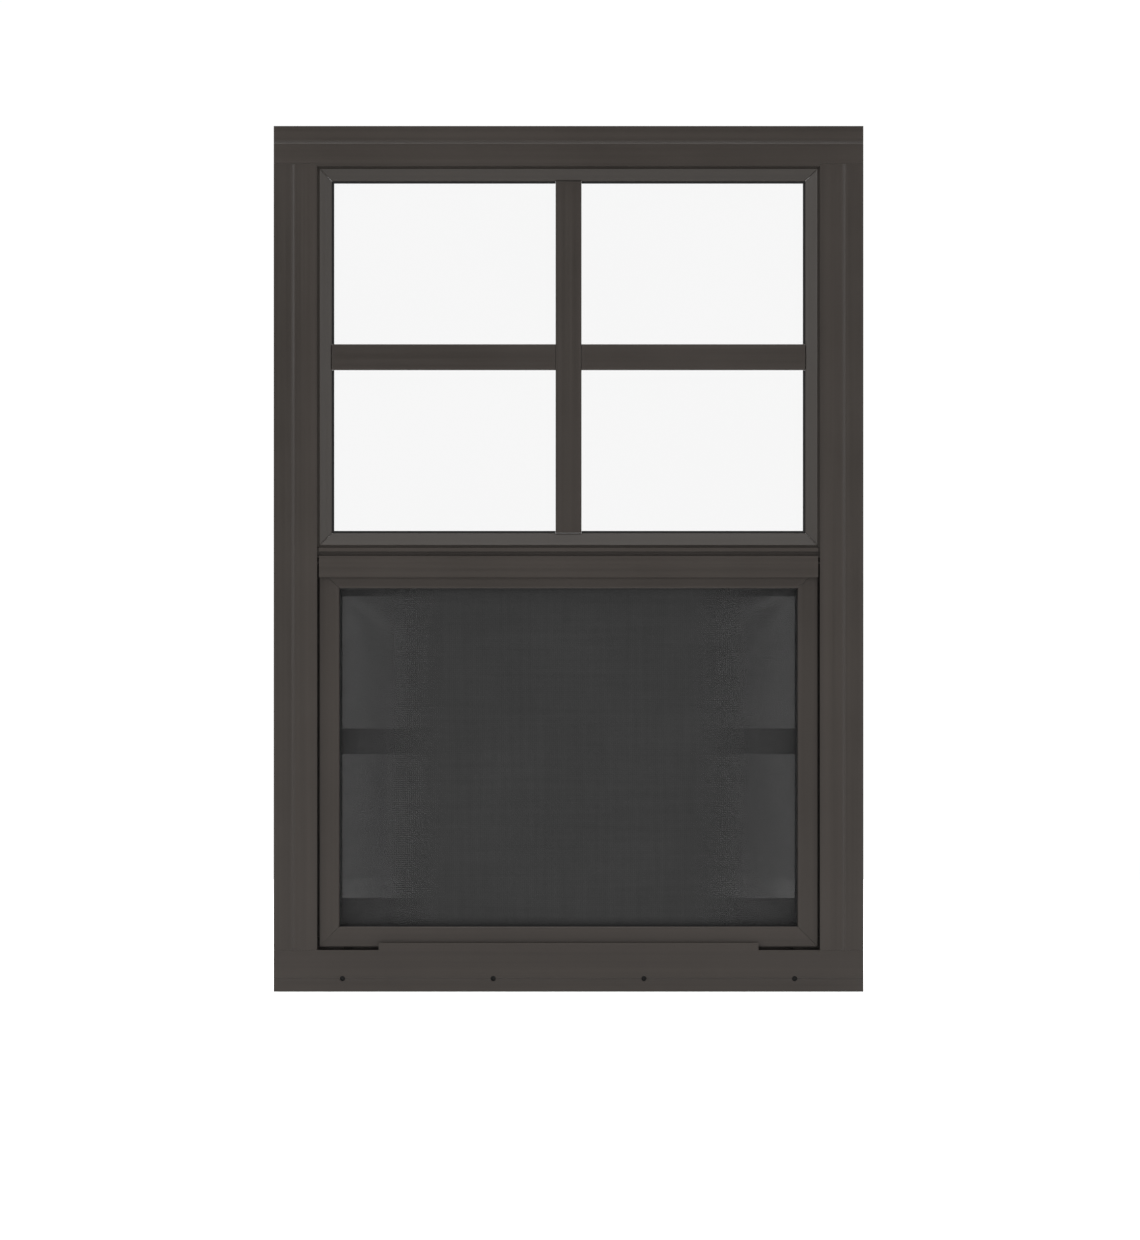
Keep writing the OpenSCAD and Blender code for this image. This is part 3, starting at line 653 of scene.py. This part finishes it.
def pan_screw(name, head_r, head_h, shank_r, shank_l, pitch):
    """A pan-head screw along X: its head's seat at the origin, the head towards +X."""
    head = rod("head", (0, 0, 0), head_h, head_r, 40)
    bevel(head, lambda co: co.x > head_h - 1e-6, head_h * 0.62, 5, 0.6)
    # The cross recess is two blocks, drawn together towards their foot
    reach, arm, depth = head_r * 0.58, head_r * 0.17, head_h * 0.62
    for across, up in ((reach, arm), (arm, reach)):
        cutter = block(
            "cutter", (head_h - depth, -across, -up), (head_h + 1 * MM, across, up))
        taper(cutter, (-1, 0, 0), (1, 0.62, 0.62))
        modify(head, "BOOLEAN", operation="DIFFERENCE", object=cutter, solver="EXACT")
        remove(cutter)
    root, body = shank_r * 0.78, shank_l - shank_r
    shank = rod("shank", (-body, 0, 0), body + 0.02 * MM, root, 24)
    taper(shank, (-1, 0, 0), (1, 0.25, 0.25), reach=shank_r)
    deselect()
    bpy.ops.mesh.primitive_plane_add(size=1)
    ridge = bpy.context.object
    start, foot = shank_r * 0.9 - shank_l, root * 0.96
    # The thread's section: along the screw as shares of the pitch, and outwards
    section = ((0.0, foot), (0.42, shank_r), (0.50, shank_r), (0.92, foot))
    for corner, (along, out) in zip((0, 1, 3, 2), section):
        ridge.data.vertices[corner].co = (start + pitch * along, out, 0)
    wind(ridge, pitch, int(body / pitch) - 1, 16)
    mend(ridge, merge=NEAR / 10)
    return join(name, [head, shank, ridge])


class SASHWINDOW_OT_profiles(bpy.types.Operator):
    """Paints the frame's, the screen's and the sash's aluminium profiles"""

    bl_idname = "sashwindow.profiles"
    bl_label = "Painted Profiles"

    def execute(self, context):
        size = context.scene.sash_paint
        colour, bead = tuple(size.frame_colour), tuple(size.bead_colour)
        for name, tint, rougher, across, upright in (
                ("bronze", colour, 0.0, GRAIN_X + SASH_X, GRAIN_Z + SASH_Z),
                ("bead", bead, -0.03, BEADS_X, BEADS_Z),
                ("screen_bar", colour, 0.02, SCREEN_X, SCREEN_Z)):
            rough = size.roughness + rougher
            finish_nodes(paint(name + "_across", tint, rough, "x"), *across)
            finish_nodes(paint(name + "_upright", tint, rough, "z"), *upright)
            soften(size.edge, *across, *upright)
        return {"FINISHED"}


class SASHWINDOW_OT_glazing(bpy.types.Operator):
    """Finishes the panes, their gaskets and the small moulded pieces"""

    bl_idname = "sashwindow.glazing"
    bl_label = "Glass and Rubber"

    def execute(self, context):
        size = context.scene.sash_hardware
        finish_nodes(glass("float_glass"), "upper_glass", "lower_glass")
        black = rubber("gasket_rubber", tuple(size.rubber))
        finish_nodes(black, "lower_gasket", "glazing_blocks", "travel_stops")
        settle(self.lipped_gasket(), black, FRAME, "black_rubber", "upper_gasket")
        finish_nodes(nylon("key_nylon", tuple(size.nylon)), "screen_corner_keys")
        soften(0.15 * MM, "upper_glass", "lower_glass", segments=2)
        soften(0.8 * MM, "travel_stops", segments=3)
        soften(0.4 * MM, "glazing_blocks", "screen_corner_keys")
        return {"FINISHED"}

    @staticmethod
    def lipped_gasket():
        """The channel round the upper pane, and the soft lip inside the beads."""
        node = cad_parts["upper_gasket"]
        channel = node.copy()
        channel.data = node.data.copy()
        bpy.context.scene.collection.objects.link(channel)
        only(channel)
        edit(action="SELECT")
        bpy.ops.mesh.remove_doubles(threshold=NEAR / 10)
        leave()
        left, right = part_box("left_bead")[1].x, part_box("right_bead")[0].x
        foot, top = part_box("bottom_bead")[1].z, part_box("top_bead")[0].z
        bar_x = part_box("upper_muntin_vertical")
        bar_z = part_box("upper_muntin_horizontal")
        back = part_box("upper_glass")[0].y - 0.03 * MM
        wide, gap, deep = 1.9 * MM, 0.1 * MM, 0.9 * MM
        spans_x = ((left, bar_x[0].x - gap), (bar_x[1].x + gap, right))
        spans_z = ((foot + wide, bar_z[0].z - gap), (bar_z[1].z + gap, top - wide))
        lips = [
            ((start, low), (end, low + wide), (0, 0, inward))
            for start, end in spans_x for low, inward in ((foot, 1), (top - wide, -1))]
        lips += [
            ((low, start), (low + wide, end), (inward, 0, 0))
            for start, end in spans_z for low, inward in ((left, 1), (right - wide, -1))]
        parts = [channel]
        for low, high, inward in lips:
            lip = block("lip", (low[0], back - deep, low[1]), (high[0], back, high[1]))
            inward, mid = Vector(inward), centre(lip)
            bevel(
                lip, lambda co: co.y < mid.y and (co - mid).dot(inward) > 0, 0.3 * MM, 3)
            parts.append(lip)
        ob = join("upper_gasket_lipped", parts)
        smooth(ob, 40)
        return ob


class SASHWINDOW_OT_flange_foam(bpy.types.Operator):
    """Sticks dark foam sealing tape round the back of the mounting flange, where it stands
    in for the shade seen through the flange's holes
    """

    bl_idname = "sashwindow.flange_foam"
    bl_label = "Flange Foam"

    def execute(self, context):
        size = context.scene.sash_hardware
        low, high = (Vector(corner) for corner in CAD_BOX)
        margin, wide, thick = 1.0 * MM, 16.4 * MM, 0.9 * MM
        left, right = low.x + margin, high.x - margin
        foot, top = low.z + margin, high.z - margin
        strips = (
            ((left, foot), (right, foot + wide)),
            ((left, top - wide), (right, top)),
            ((left, foot + wide), (left + wide, top - wide)),
            ((right - wide, foot + wide), (right, top - wide)))
        parts = []
        for start, end in strips:
            strip = block(
                "strip", (start[0], 0.02 * MM, start[1]), (end[0], thick, end[1]))
            bevel(strip, lambda co: co.y > thick / 2, 0.35 * MM, 3)
            parts.append(strip)
        ob = join("flange_foam_tape", parts)
        smooth(ob, 40)
        # The dark tape stands in for the shade that shows through the flange's holes
        settle(ob, foam("closed_cell_foam", tuple(size.rubber)), FRAME, "black_rubber")
        return {"FINISHED"}


class SASHWINDOW_OT_screen_cloth(bpy.types.Operator):
    """Stretches the woven cloth over the screen, tucked into the bars' grooves"""

    bl_idname = "sashwindow.screen_cloth"
    bl_label = "Screen Cloth"

    def execute(self, context):
        size = context.scene.sash_screen
        low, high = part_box("screen_cloth")
        mid = (low + high) / 2
        back = mid.y
        lip = 2.9 * MM
        half = Vector(((high.x - low.x) / 2 - lip, 0, (high.z - low.z) / 2 - lip))
        deselect()
        bpy.ops.mesh.primitive_grid_add(
            x_subdivisions=120, y_subdivisions=90, size=1,
            location=(mid.x, back, mid.z), rotation=(math.pi / 2, 0, 0))
        ob = bpy.context.object
        ob.name = ob.data.name = "screen_cloth_woven"
        ob.scale = (2 * half.x, 2 * half.z, 1)
        apply_place()
        self.fold(ob, mid, half, size.ripple)
        # The rim goes down behind the spline: how far out each strip of it goes, in
        # millimetres, and at what share of the depth it ends
        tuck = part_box("screen_spline")[1].y + size.thickness - back
        at = half
        for out, down in ((0.35, 0.2), (0.35, 0.8), (0.3, 1.0), (1.8, 1.0)):
            pick(ob, edge=lambda co: self.on_rim(co, mid, at))
            bpy.ops.mesh.extrude_region_move()
            wider = at + Vector((out * MM, 0, out * MM))
            bpy.ops.transform.resize(
                value=(wider.x / at.x, 1, wider.z / at.z), center_override=mid)
            at = wider
            leave()
            for v in ob.data.vertices:
                if self.on_rim(v.co, mid, at):
                    v.co.y = back + tuck * down
        modify(ob, "SOLIDIFY", thickness=size.thickness, offset=0)
        mend(ob)
        smooth(ob, 60)
        settle(
            ob, woven(
                "charcoal_weave", tuple(size.cloth_colour), size.pitch, size.cover,
                *self.opening()),
            FRAME, "screen_mesh", "screen_cloth")
        return {"FINISHED"}

    @staticmethod
    def opening():
        """The corners of the opening between the screen's bars."""
        left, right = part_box("screen_left_stile")[1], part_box("screen_right_stile")[0]
        foot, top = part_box("screen_bottom_rail")[1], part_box("screen_top_rail")[0]
        return Vector((left.x, left.y, foot.z)), Vector((right.x, right.y, top.z))

    @staticmethod
    def on_rim(co, mid, half):
        return (
            abs(abs(co.x - mid.x) - half.x) < 2 * NEAR
            or abs(abs(co.z - mid.z) - half.z) < 2 * NEAR)

    @staticmethod
    def fold(ob, mid, half, ripple):
        """Faint tension folds that run in from the corners, and puckers at the rim."""
        held = 12 * MM  # the cloth is held flat at the rim and is free this far in
        for v in ob.data.vertices:
            across, up = v.co.x - mid.x, v.co.z - mid.z
            from_side, from_end = half.x - abs(across), half.z - abs(up)
            free = min(1.0, min(from_side, from_end) / held)
            lift = 0.0
            for side in (-1, 1):
                dx = half.x - side * across
                # At the top and then at the foot: height, reach, waves and their turn
                for dz, share, reach, waves, turn in (
                        (half.z - up, 1.0, 75 * MM, 11, 1.3),
                        (half.z + up, 0.5, 55 * MM, 9, -1.0)):
                    far, angle = math.hypot(dx, dz), math.atan2(dz, dx)
                    lift += share * math.exp(-far / reach) * math.sin(
                        waves * angle + turn * side)
            pucker = 0.16 * math.exp(-from_side / (16 * MM)) * math.sin(up / (3.1 * MM))
            pucker += 0.10 * math.exp(-from_end / (12 * MM)) * math.sin(
                across / (3.7 * MM))
            wide = 0.35 * math.sin(across / (61 * MM) + 0.7) * math.sin(
                up / (83 * MM) + 0.4)
            v.co.y += ripple * free * (lift + pucker + wide)


class SASHWINDOW_OT_spline(bpy.types.Operator):
    """Presses a round rubber spline into the groove of the screen's bars"""

    bl_idname = "sashwindow.spline"
    bl_label = "Screen Spline"

    def execute(self, context):
        low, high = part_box("screen_spline")
        radius = (high.y - low.y) / 2
        mid = (low + high) / 2
        deselect()
        bpy.ops.mesh.primitive_plane_add(
            size=1, location=mid, rotation=(math.pi / 2, 0, 0))
        ob = bpy.context.object
        ob.scale = (high.x - low.x - 2 * radius, high.z - low.z - 2 * radius, 1)
        apply_place()
        edit("VERT", "SELECT")
        bpy.ops.mesh.delete(type="ONLY_FACE")
        bpy.ops.mesh.select_all(action="SELECT")
        bpy.ops.mesh.bevel(offset=radius * 1.1, segments=6, affect="VERTICES")
        leave()
        bpy.ops.object.convert(target="CURVE")
        route = bpy.context.object.data
        route.bevel_depth, route.bevel_resolution = radius * 0.98, 3
        bpy.ops.object.convert(target="MESH")
        ob = bpy.context.object
        ob.name = ob.data.name = "screen_spline_cord"
        smooth(ob, 60)
        settle(
            ob, rubber("spline_rubber", tuple(context.scene.sash_hardware.rubber)),
            FRAME, "black_rubber", "screen_spline")
        return {"FINISHED"}


class SASHWINDOW_OT_screws(bpy.types.Operator):
    """Drives pan-head screws into the frame's, the rail's and the sash's corners"""

    bl_idname = "sashwindow.screws"
    bl_label = "Screws"

    def execute(self, context):
        size = context.scene.sash_hardware
        zinc = metal("zinc_plate", tuple(size.zinc), 0.28, (700.0, 700.0, 700.0))
        for node, body in (
                ("frame_screws", FRAME), ("meeting_rail_screws", FRAME),
                ("sash_screws", SASH)):
            seats, *sizes = self.measure(node)
            first = pan_screw("screw", *sizes, size.thread_pitch)
            smooth(first, 30)
            copies = []
            for seat in seats:
                copies.append(copy_to(first, "screw_copy", seat))
                copies.append(self.turned(first, seat))
            remove(first)
            ob = join(node + "_pan_head", copies)
            settle(ob, zinc, body, "zinc_screw", node)
        return {"FINISHED"}

    @staticmethod
    def turned(first, seat):
        """The same screw on the left side, driven the other way."""
        new = copy_to(first, "screw_copy")
        new.rotation_euler = (0, 0, math.pi)
        new.location = (-seat.x, seat.y, seat.z)
        only(new)
        apply_place()
        return new

    @staticmethod
    def measure(node):
        """The right side's seats, and a screw's sizes, from the node's own solids."""
        points = [v.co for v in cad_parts[node].data.vertices if v.co.x > 0]
        top = max(p.x for p in points)
        apart = 9 * MM  # corners nearer than this are of one head
        groups = []
        for p in points:
            if p.x > top - NEAR:
                flat = Vector((0, p.y, p.z))
                for group in groups:
                    if (flat - group[0]).length < apart:
                        group.append(flat)
                        break
                else:
                    groups.append([flat])
        centres, head_r = [], 0.0
        for group in groups:
            (y0, y1), (z0, z1) = (
                (min(p[i] for p in group), max(p[i] for p in group)) for i in (1, 2))
            centres.append(Vector((0, (y0 + y1) / 2, (z0 + z1) / 2)))
            head_r = max(head_r, (y1 - y0) / 2)
        around = [(p.x, (Vector((0, p.y, p.z)) - centres[0]).length) for p in points]
        around = [(x, r) for x, r in around if r < head_r * 1.2]
        shank_end = min(x for x, _ in around)
        shank_r = max(r for x, r in around if x < shank_end + NEAR)
        seat = min(x for x, r in around if r > head_r * 0.98)
        return (
            [Vector((seat, c.y, c.z)) for c in centres],
            head_r, top - seat, shank_r, seat - shank_end)


class SASHWINDOW_OT_seals(bpy.types.Operator):
    """Sets the brushed pile on the stiles and the ribbed seal under the sash"""

    bl_idname = "sashwindow.seals"
    bl_label = "Pile and Foot Seal"

    def execute(self, context):
        grey = pile("brushed_pile")
        self.strip("sash_front_pile", False, grey)
        self.strip("sash_back_pile", True, grey)
        self.foot(context)
        return {"FINISHED"}

    @staticmethod
    def strip(node, behind, material):
        """Two strips of backing, each with rows of short tufts."""
        low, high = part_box(node)
        inner = min(v.co.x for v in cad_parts[node].data.vertices if v.co.x > 0)
        back_t = (high.y - low.y) * 0.3
        root, tip = (low.y + back_t, high.y) if behind else (high.y - back_t, low.y)
        base = (low.y, root) if behind else (root, high.y)
        backing = block("backing", (inner, base[0], low.z), (high.x, base[1], high.z))
        rows, pitch, end = 5, 0.9 * MM, 0.1 * MM
        wide = (high.x - inner) / rows
        tufts = []
        for row in range(rows):
            x = inner + wide * (row + 0.5)
            lift = pitch * (0.0 if row % 2 else 0.5)
            tuft = block(
                "tuft", (x - wide * 0.46, min(root, tip), low.z + end + lift),
                (x + wide * 0.46, max(root, tip), low.z + end + lift + pitch * 0.86))
            taper(tuft, (0, 1 if behind else -1, 0), (0.35, 1, 0.35))
            count = int((high.z - low.z - 6 * end - lift) / pitch)
            modify(
                tuft, "ARRAY", count=count, use_relative_offset=False,
                use_constant_offset=True, constant_offset_displace=(0, 0, pitch))
            tufts.append(tuft)
        right = join("pile_right", [backing, *tufts])
        left = copy_to(right, "pile_left", mirrored=True)
        ob = join(node + "_brush", [right, left])
        settle(ob, material, SASH, "grey_pile", node)

    @staticmethod
    def foot(context):
        """A soft bulb between two fins."""
        low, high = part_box("sash_foot_seal")
        length, mid = high.x - low.x, (low + high) / 2
        back = block("back", (low.x, low.y, high.z - 0.5 * MM), high)
        rise = (high.z - low.z) / 2
        bulb = rod("bulb", (low.x, mid.y, low.z + rise), length, rise, 20)
        only(bulb)
        edit("VERT", "SELECT")
        bpy.ops.transform.resize(
            value=(1, 1.3, 1), center_override=(mid.x, mid.y, low.z + rise))
        leave()
        fins = []
        for side in (-1, 1):
            y, half = mid.y + side * 2.5 * MM, 0.3 * MM
            fin = block(
                "fin", (low.x, y - half, low.z + 0.1 * MM),
                (high.x, y + half, high.z - 0.4 * MM))
            taper(fin, (0, 0, -1), (1, 0.4, 1), shift=(0, side * half / 2, 0))
            fins.append(fin)
        ob = join("sash_foot_seal_bulb", [back, bulb, *fins])
        smooth(ob, 40)
        settle(
            ob, rubber("seal_rubber", tuple(context.scene.sash_hardware.rubber)),
            SASH, "black_rubber", "sash_foot_seal")


class SASHWINDOW_OT_latches(bpy.types.Operator):
    """Finishes the latches: turned bolts with ridged thumb pads, springs, housings"""

    bl_idname = "sashwindow.latches"
    bl_label = "Latches"

    def execute(self, context):
        size = context.scene.sash_hardware
        steel = metal("satin_steel", tuple(size.steel), 0.22, (60.0, 1500.0, 1500.0))
        wire = metal("spring_wire", tuple(size.steel), 0.30, (900.0, 900.0, 900.0))
        finish_nodes(
            nylon("housing_nylon", tuple(size.nylon)),
            "left_latch_housing", "right_latch_housing")
        soften(0.35 * MM, "left_latch_housing", "right_latch_housing")
        for side, ob in self.pair(self.bolt(), "_latch_bolt_ridged", 30):
            settle(ob, steel, side + "_latch", "latch_metal", side + "_latch_bolt")
        for side, ob in self.pair(self.spring(), "_latch_spring_coil", 60):
            settle(ob, wire, None, "spring_steel", side + "_latch_spring")
            back, front = (Vector(c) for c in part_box(side + "_latch_spring"))
            if side == "left":
                back.x, front.x = front.x, back.x
            side + "_latch"
            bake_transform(ob)
        return {"FINISHED"}

    @staticmethod
    def pair(right, ending, degrees):
        """The right side's piece, and its mirror image on the left."""
        left = copy_to(right, "left" + ending, mirrored=True)
        right.name = "right" + ending
        for side, ob in (("right", right), ("left", left)):
            ob.data.name = ob.name
            smooth(ob, degrees)
            yield side, ob

    @staticmethod
    def spring():
        """The right side's coil, with a closed turn at each end, from its node's sizes."""
        points = [v.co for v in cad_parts["right_latch_spring"].data.vertices]
        low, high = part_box("right_latch_spring")
        mid = (low + high) / 2
        reach = [math.hypot(p.y - mid.y, p.z - mid.z) for p in points]
        coil_r, wire_r = (max(reach) + min(reach)) / 2, (max(reach) - min(reach)) / 2
        start, end, closed = low.x + wire_r, high.x - wire_r, 2.16 * wire_r
        free = 5
        coils = []
        for x, turns, pitch in (
                (start, 1, closed),
                (start + closed, free, (end - start - 2 * closed) / free),
                (end - closed, 1, closed)):
            deselect()
            bpy.ops.mesh.primitive_circle_add(
                vertices=12, radius=wire_r, location=(x, coil_r, 0))
            coil = bpy.context.object
            apply_place()
            wind(coil, pitch, turns, 24)
            coils.append(coil)
        ob = join("spring", coils)
        mend(ob, merge=NEAR, close=True)
        ob.location = (0, mid.y, mid.z)
        apply_place()
        return ob

    @staticmethod
    def bolt():
        """The right side's bolt, from the sizes of its node."""
        points = [v.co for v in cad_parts["right_latch_bolt"].data.vertices]
        low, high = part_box("right_latch_bolt")
        axis_z = (low.z + high.z) / 2
        nose = 1.5 * MM
        round_y = [p.y for p in points if p.x > high.x - nose - 0.1 * MM]
        axis_y = (min(round_y) + max(round_y)) / 2
        bolt_r = max(round_y) - axis_y
        pads = [p.x for p in points if p.y > high.y - NEAR]
        pad_low, pad_high = min(pads), max(pads)
        tail_r = max(abs(p.y - axis_y) for p in points if p.x < low.x + NEAR)

        def on_bolt(p):
            return abs(math.hypot(p.y - axis_y, p.z - axis_z) - bolt_r) < 2 * NEAR

        shoulder = min(p.x for p in points if on_bolt(p))
        main = rod("bolt", (shoulder, axis_y, axis_z), high.x - shoulder, bolt_r, 40)
        bevel(main, lambda co: co.x > high.x - NEAR, nose, 4, 0.45)
        bevel(main, lambda co: co.x < shoulder + NEAR, 0.3 * MM, 2)
        tail = rod(
            "tail", (low.x, axis_y, axis_z), shoulder - low.x + 1 * MM, tail_r, 24)
        bevel(tail, lambda co: co.x < low.x + NEAR, 0.4 * MM, 2)

        pad_t, sunk, inset, rim = 2.5 * MM, 0.5 * MM, 2 * MM, 1 * MM
        stem_h = (high.z - low.z) / 2 - inset
        stem = block(
            "stem", (pad_low + inset, axis_y, axis_z - stem_h),
            (pad_high - inset, high.y - pad_t + sunk, axis_z + stem_h))
        pad = block(
            "pad", (pad_low, high.y - pad_t, low.z), (pad_high, high.y - sunk, high.z))
        bevel(pad, lambda co: True, 0.6 * MM, 3)
        ridges = []
        count = 5
        step = (pad_high - pad_low - 2 * rim) / count
        for i in range(count):
            x = pad_low + rim + step * (i + 0.5)
            ridge = block(
                "ridge", (x - step * 0.38, high.y - 0.9 * MM, low.z + rim),
                (x + step * 0.38, high.y, high.z - rim))
            taper(ridge, (0, 1, 0), (0.4, 1, 0.86))
            ridges.append(ridge)
        return join("bolt", [main, tail, stem, pad, *ridges])


class SASHWINDOW_OT_stage(bpy.types.Operator):
    """Sets the floor, the soft lights, the surroundings and the camera"""

    bl_idname = "sashwindow.stage"
    bl_label = "Stage"

    def execute(self, context):
        size = context.scene.sash_stage
        lowest, highest = (Vector(corner) for corner in CAD_BOX)
        deselect()
        bpy.ops.mesh.primitive_circle_add(
            vertices=96, radius=2.2, fill_type="NGON", location=(0, 0, lowest.z))
        floor = bpy.context.object
        floor.name = "floor"
        apply_place()
        pale = Finish(
            "pale_floor", (0.93, 0.93, 0.93), Specular_IOR_Level=0.0,
            Emission_Color=(1, 1, 1, 1), Emission_Strength=size.glow)
        pale.set(
            Base_Color=pale.mix(pale.noise(3.0), (0.92, 0.92, 0.92), (0.95, 0.95, 0.95)),
            Roughness=0.8)
        floor.data.materials.append(pale.material)
        self.surroundings(size.ambient)
        aim = Vector((0, 0, (lowest.z + highest.z) / 2))
        self.softbox("key", (-2.5, -1.8, 1.3), aim, 1.6, size.key)
        self.softbox("fill", (2.5, -1.7, 0.8), aim, 1.6, size.fill)
        self.softbox("overhead", (0.0, -0.4, 2.7), aim, 2.4, size.top)
        self.softbox("rear", (1.6, 2.6, 1.9), aim, 2.2, size.rear)
        self.camera(size)
        context.scene.view_settings.view_transform = "Standard"
        return {"FINISHED"}

    @staticmethod
    def surroundings(ambient):
        """White surroundings: full brightness where seen, dimmer as a light."""
        world = bpy.data.worlds.new("surroundings")
        world.use_nodes = True
        bpy.context.scene.world = world
        tree = world.node_tree
        back = tree.nodes["Background"]
        back.inputs["Color"].default_value = (1, 1, 1, 1)
        rays = tree.nodes.new("ShaderNodeLightPath")
        seen = tree.nodes.new("ShaderNodeMath")
        seen.operation = "MAXIMUM"
        tree.links.new(rays.outputs["Is Camera Ray"], seen.inputs[0])
        tree.links.new(rays.outputs["Is Transmission Ray"], seen.inputs[1])
        bright = tree.nodes.new("ShaderNodeMapRange")
        bright.inputs["To Min"].default_value = ambient
        bright.inputs["To Max"].default_value = 1.02
        tree.links.new(seen.outputs[0], bright.inputs["Value"])
        tree.links.new(bright.outputs["Result"], back.inputs["Strength"])

    @staticmethod
    def softbox(name, place, aim, width, power):
        light = bpy.data.lights.new(name, "AREA")
        light.shape, light.size, light.energy = "SQUARE", width, power
        ob = bpy.data.objects.new(name, light)
        bpy.context.scene.collection.objects.link(ob)
        ob.location = place
        ob.rotation_euler = (aim - Vector(place)).to_track_quat("-Z", "Y").to_euler()
        ob.visible_camera = False
        ob.visible_transmission = False

    @staticmethod
    def camera(size):
        """Straight on, level, a little below the middle of the window."""
        data = bpy.data.cameras.new("camera")
        data.sensor_fit, data.sensor_width = "HORIZONTAL", 36.0
        data.lens = data.sensor_width * size.distance / size.view_width
        data.clip_end = 50
        ob = bpy.data.objects.new("camera", data)
        bpy.context.scene.collection.objects.link(ob)
        ob.location = (1.2 * MM, -size.distance, 290.3 * MM)
        ob.rotation_euler = (math.pi / 2, 0, 0)
        bpy.context.scene.camera = ob


class SASHWINDOW_PT_panel(bpy.types.Panel):
    bl_label = "Sash Window"
    bl_idname = "SASHWINDOW_PT_panel"
    bl_space_type = "VIEW_3D"
    bl_region_type = "UI"
    bl_category = "Sash Window"

    def draw(self, context):
        for group in SETTINGS:
            settings = getattr(context.scene, group)
            box = self.layout.box()
            for name in settings.__annotations__:
                box.prop(settings, name)
        for operator in OPERATORS:
            self.layout.operator(operator.bl_idname)


SETTINGS = {
    "sash_paint": PaintSettings,
    "sash_screen": ScreenSettings,
    "sash_hardware": HardwareSettings,
    "sash_stage": StageSettings,
}
OPERATORS = (
    SASHWINDOW_OT_profiles,
    SASHWINDOW_OT_glazing,
    SASHWINDOW_OT_flange_foam,
    SASHWINDOW_OT_screen_cloth,
    SASHWINDOW_OT_spline,
    SASHWINDOW_OT_screws,
    SASHWINDOW_OT_seals,
    SASHWINDOW_OT_latches,
    SASHWINDOW_OT_stage,
)


def register():
    for cls in (*SETTINGS.values(), *OPERATORS, SASHWINDOW_PT_panel):
        bpy.utils.register_class(cls)
    for name, cls in SETTINGS.items():
        setattr(bpy.types.Scene, name, bpy.props.PointerProperty(type=cls))


def unregister():
    for name in SETTINGS:
        delattr(bpy.types.Scene, name)
    for cls in (SASHWINDOW_PT_panel, *reversed(OPERATORS), *SETTINGS.values()):
        bpy.utils.unregister_class(cls)


def main():
    register()
    for operator in OPERATORS:
        group, name = operator.bl_idname.split(".")
        getattr(getattr(bpy.ops, group), name)()
    deselect()
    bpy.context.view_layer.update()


if __name__ == "__main__":
    main()
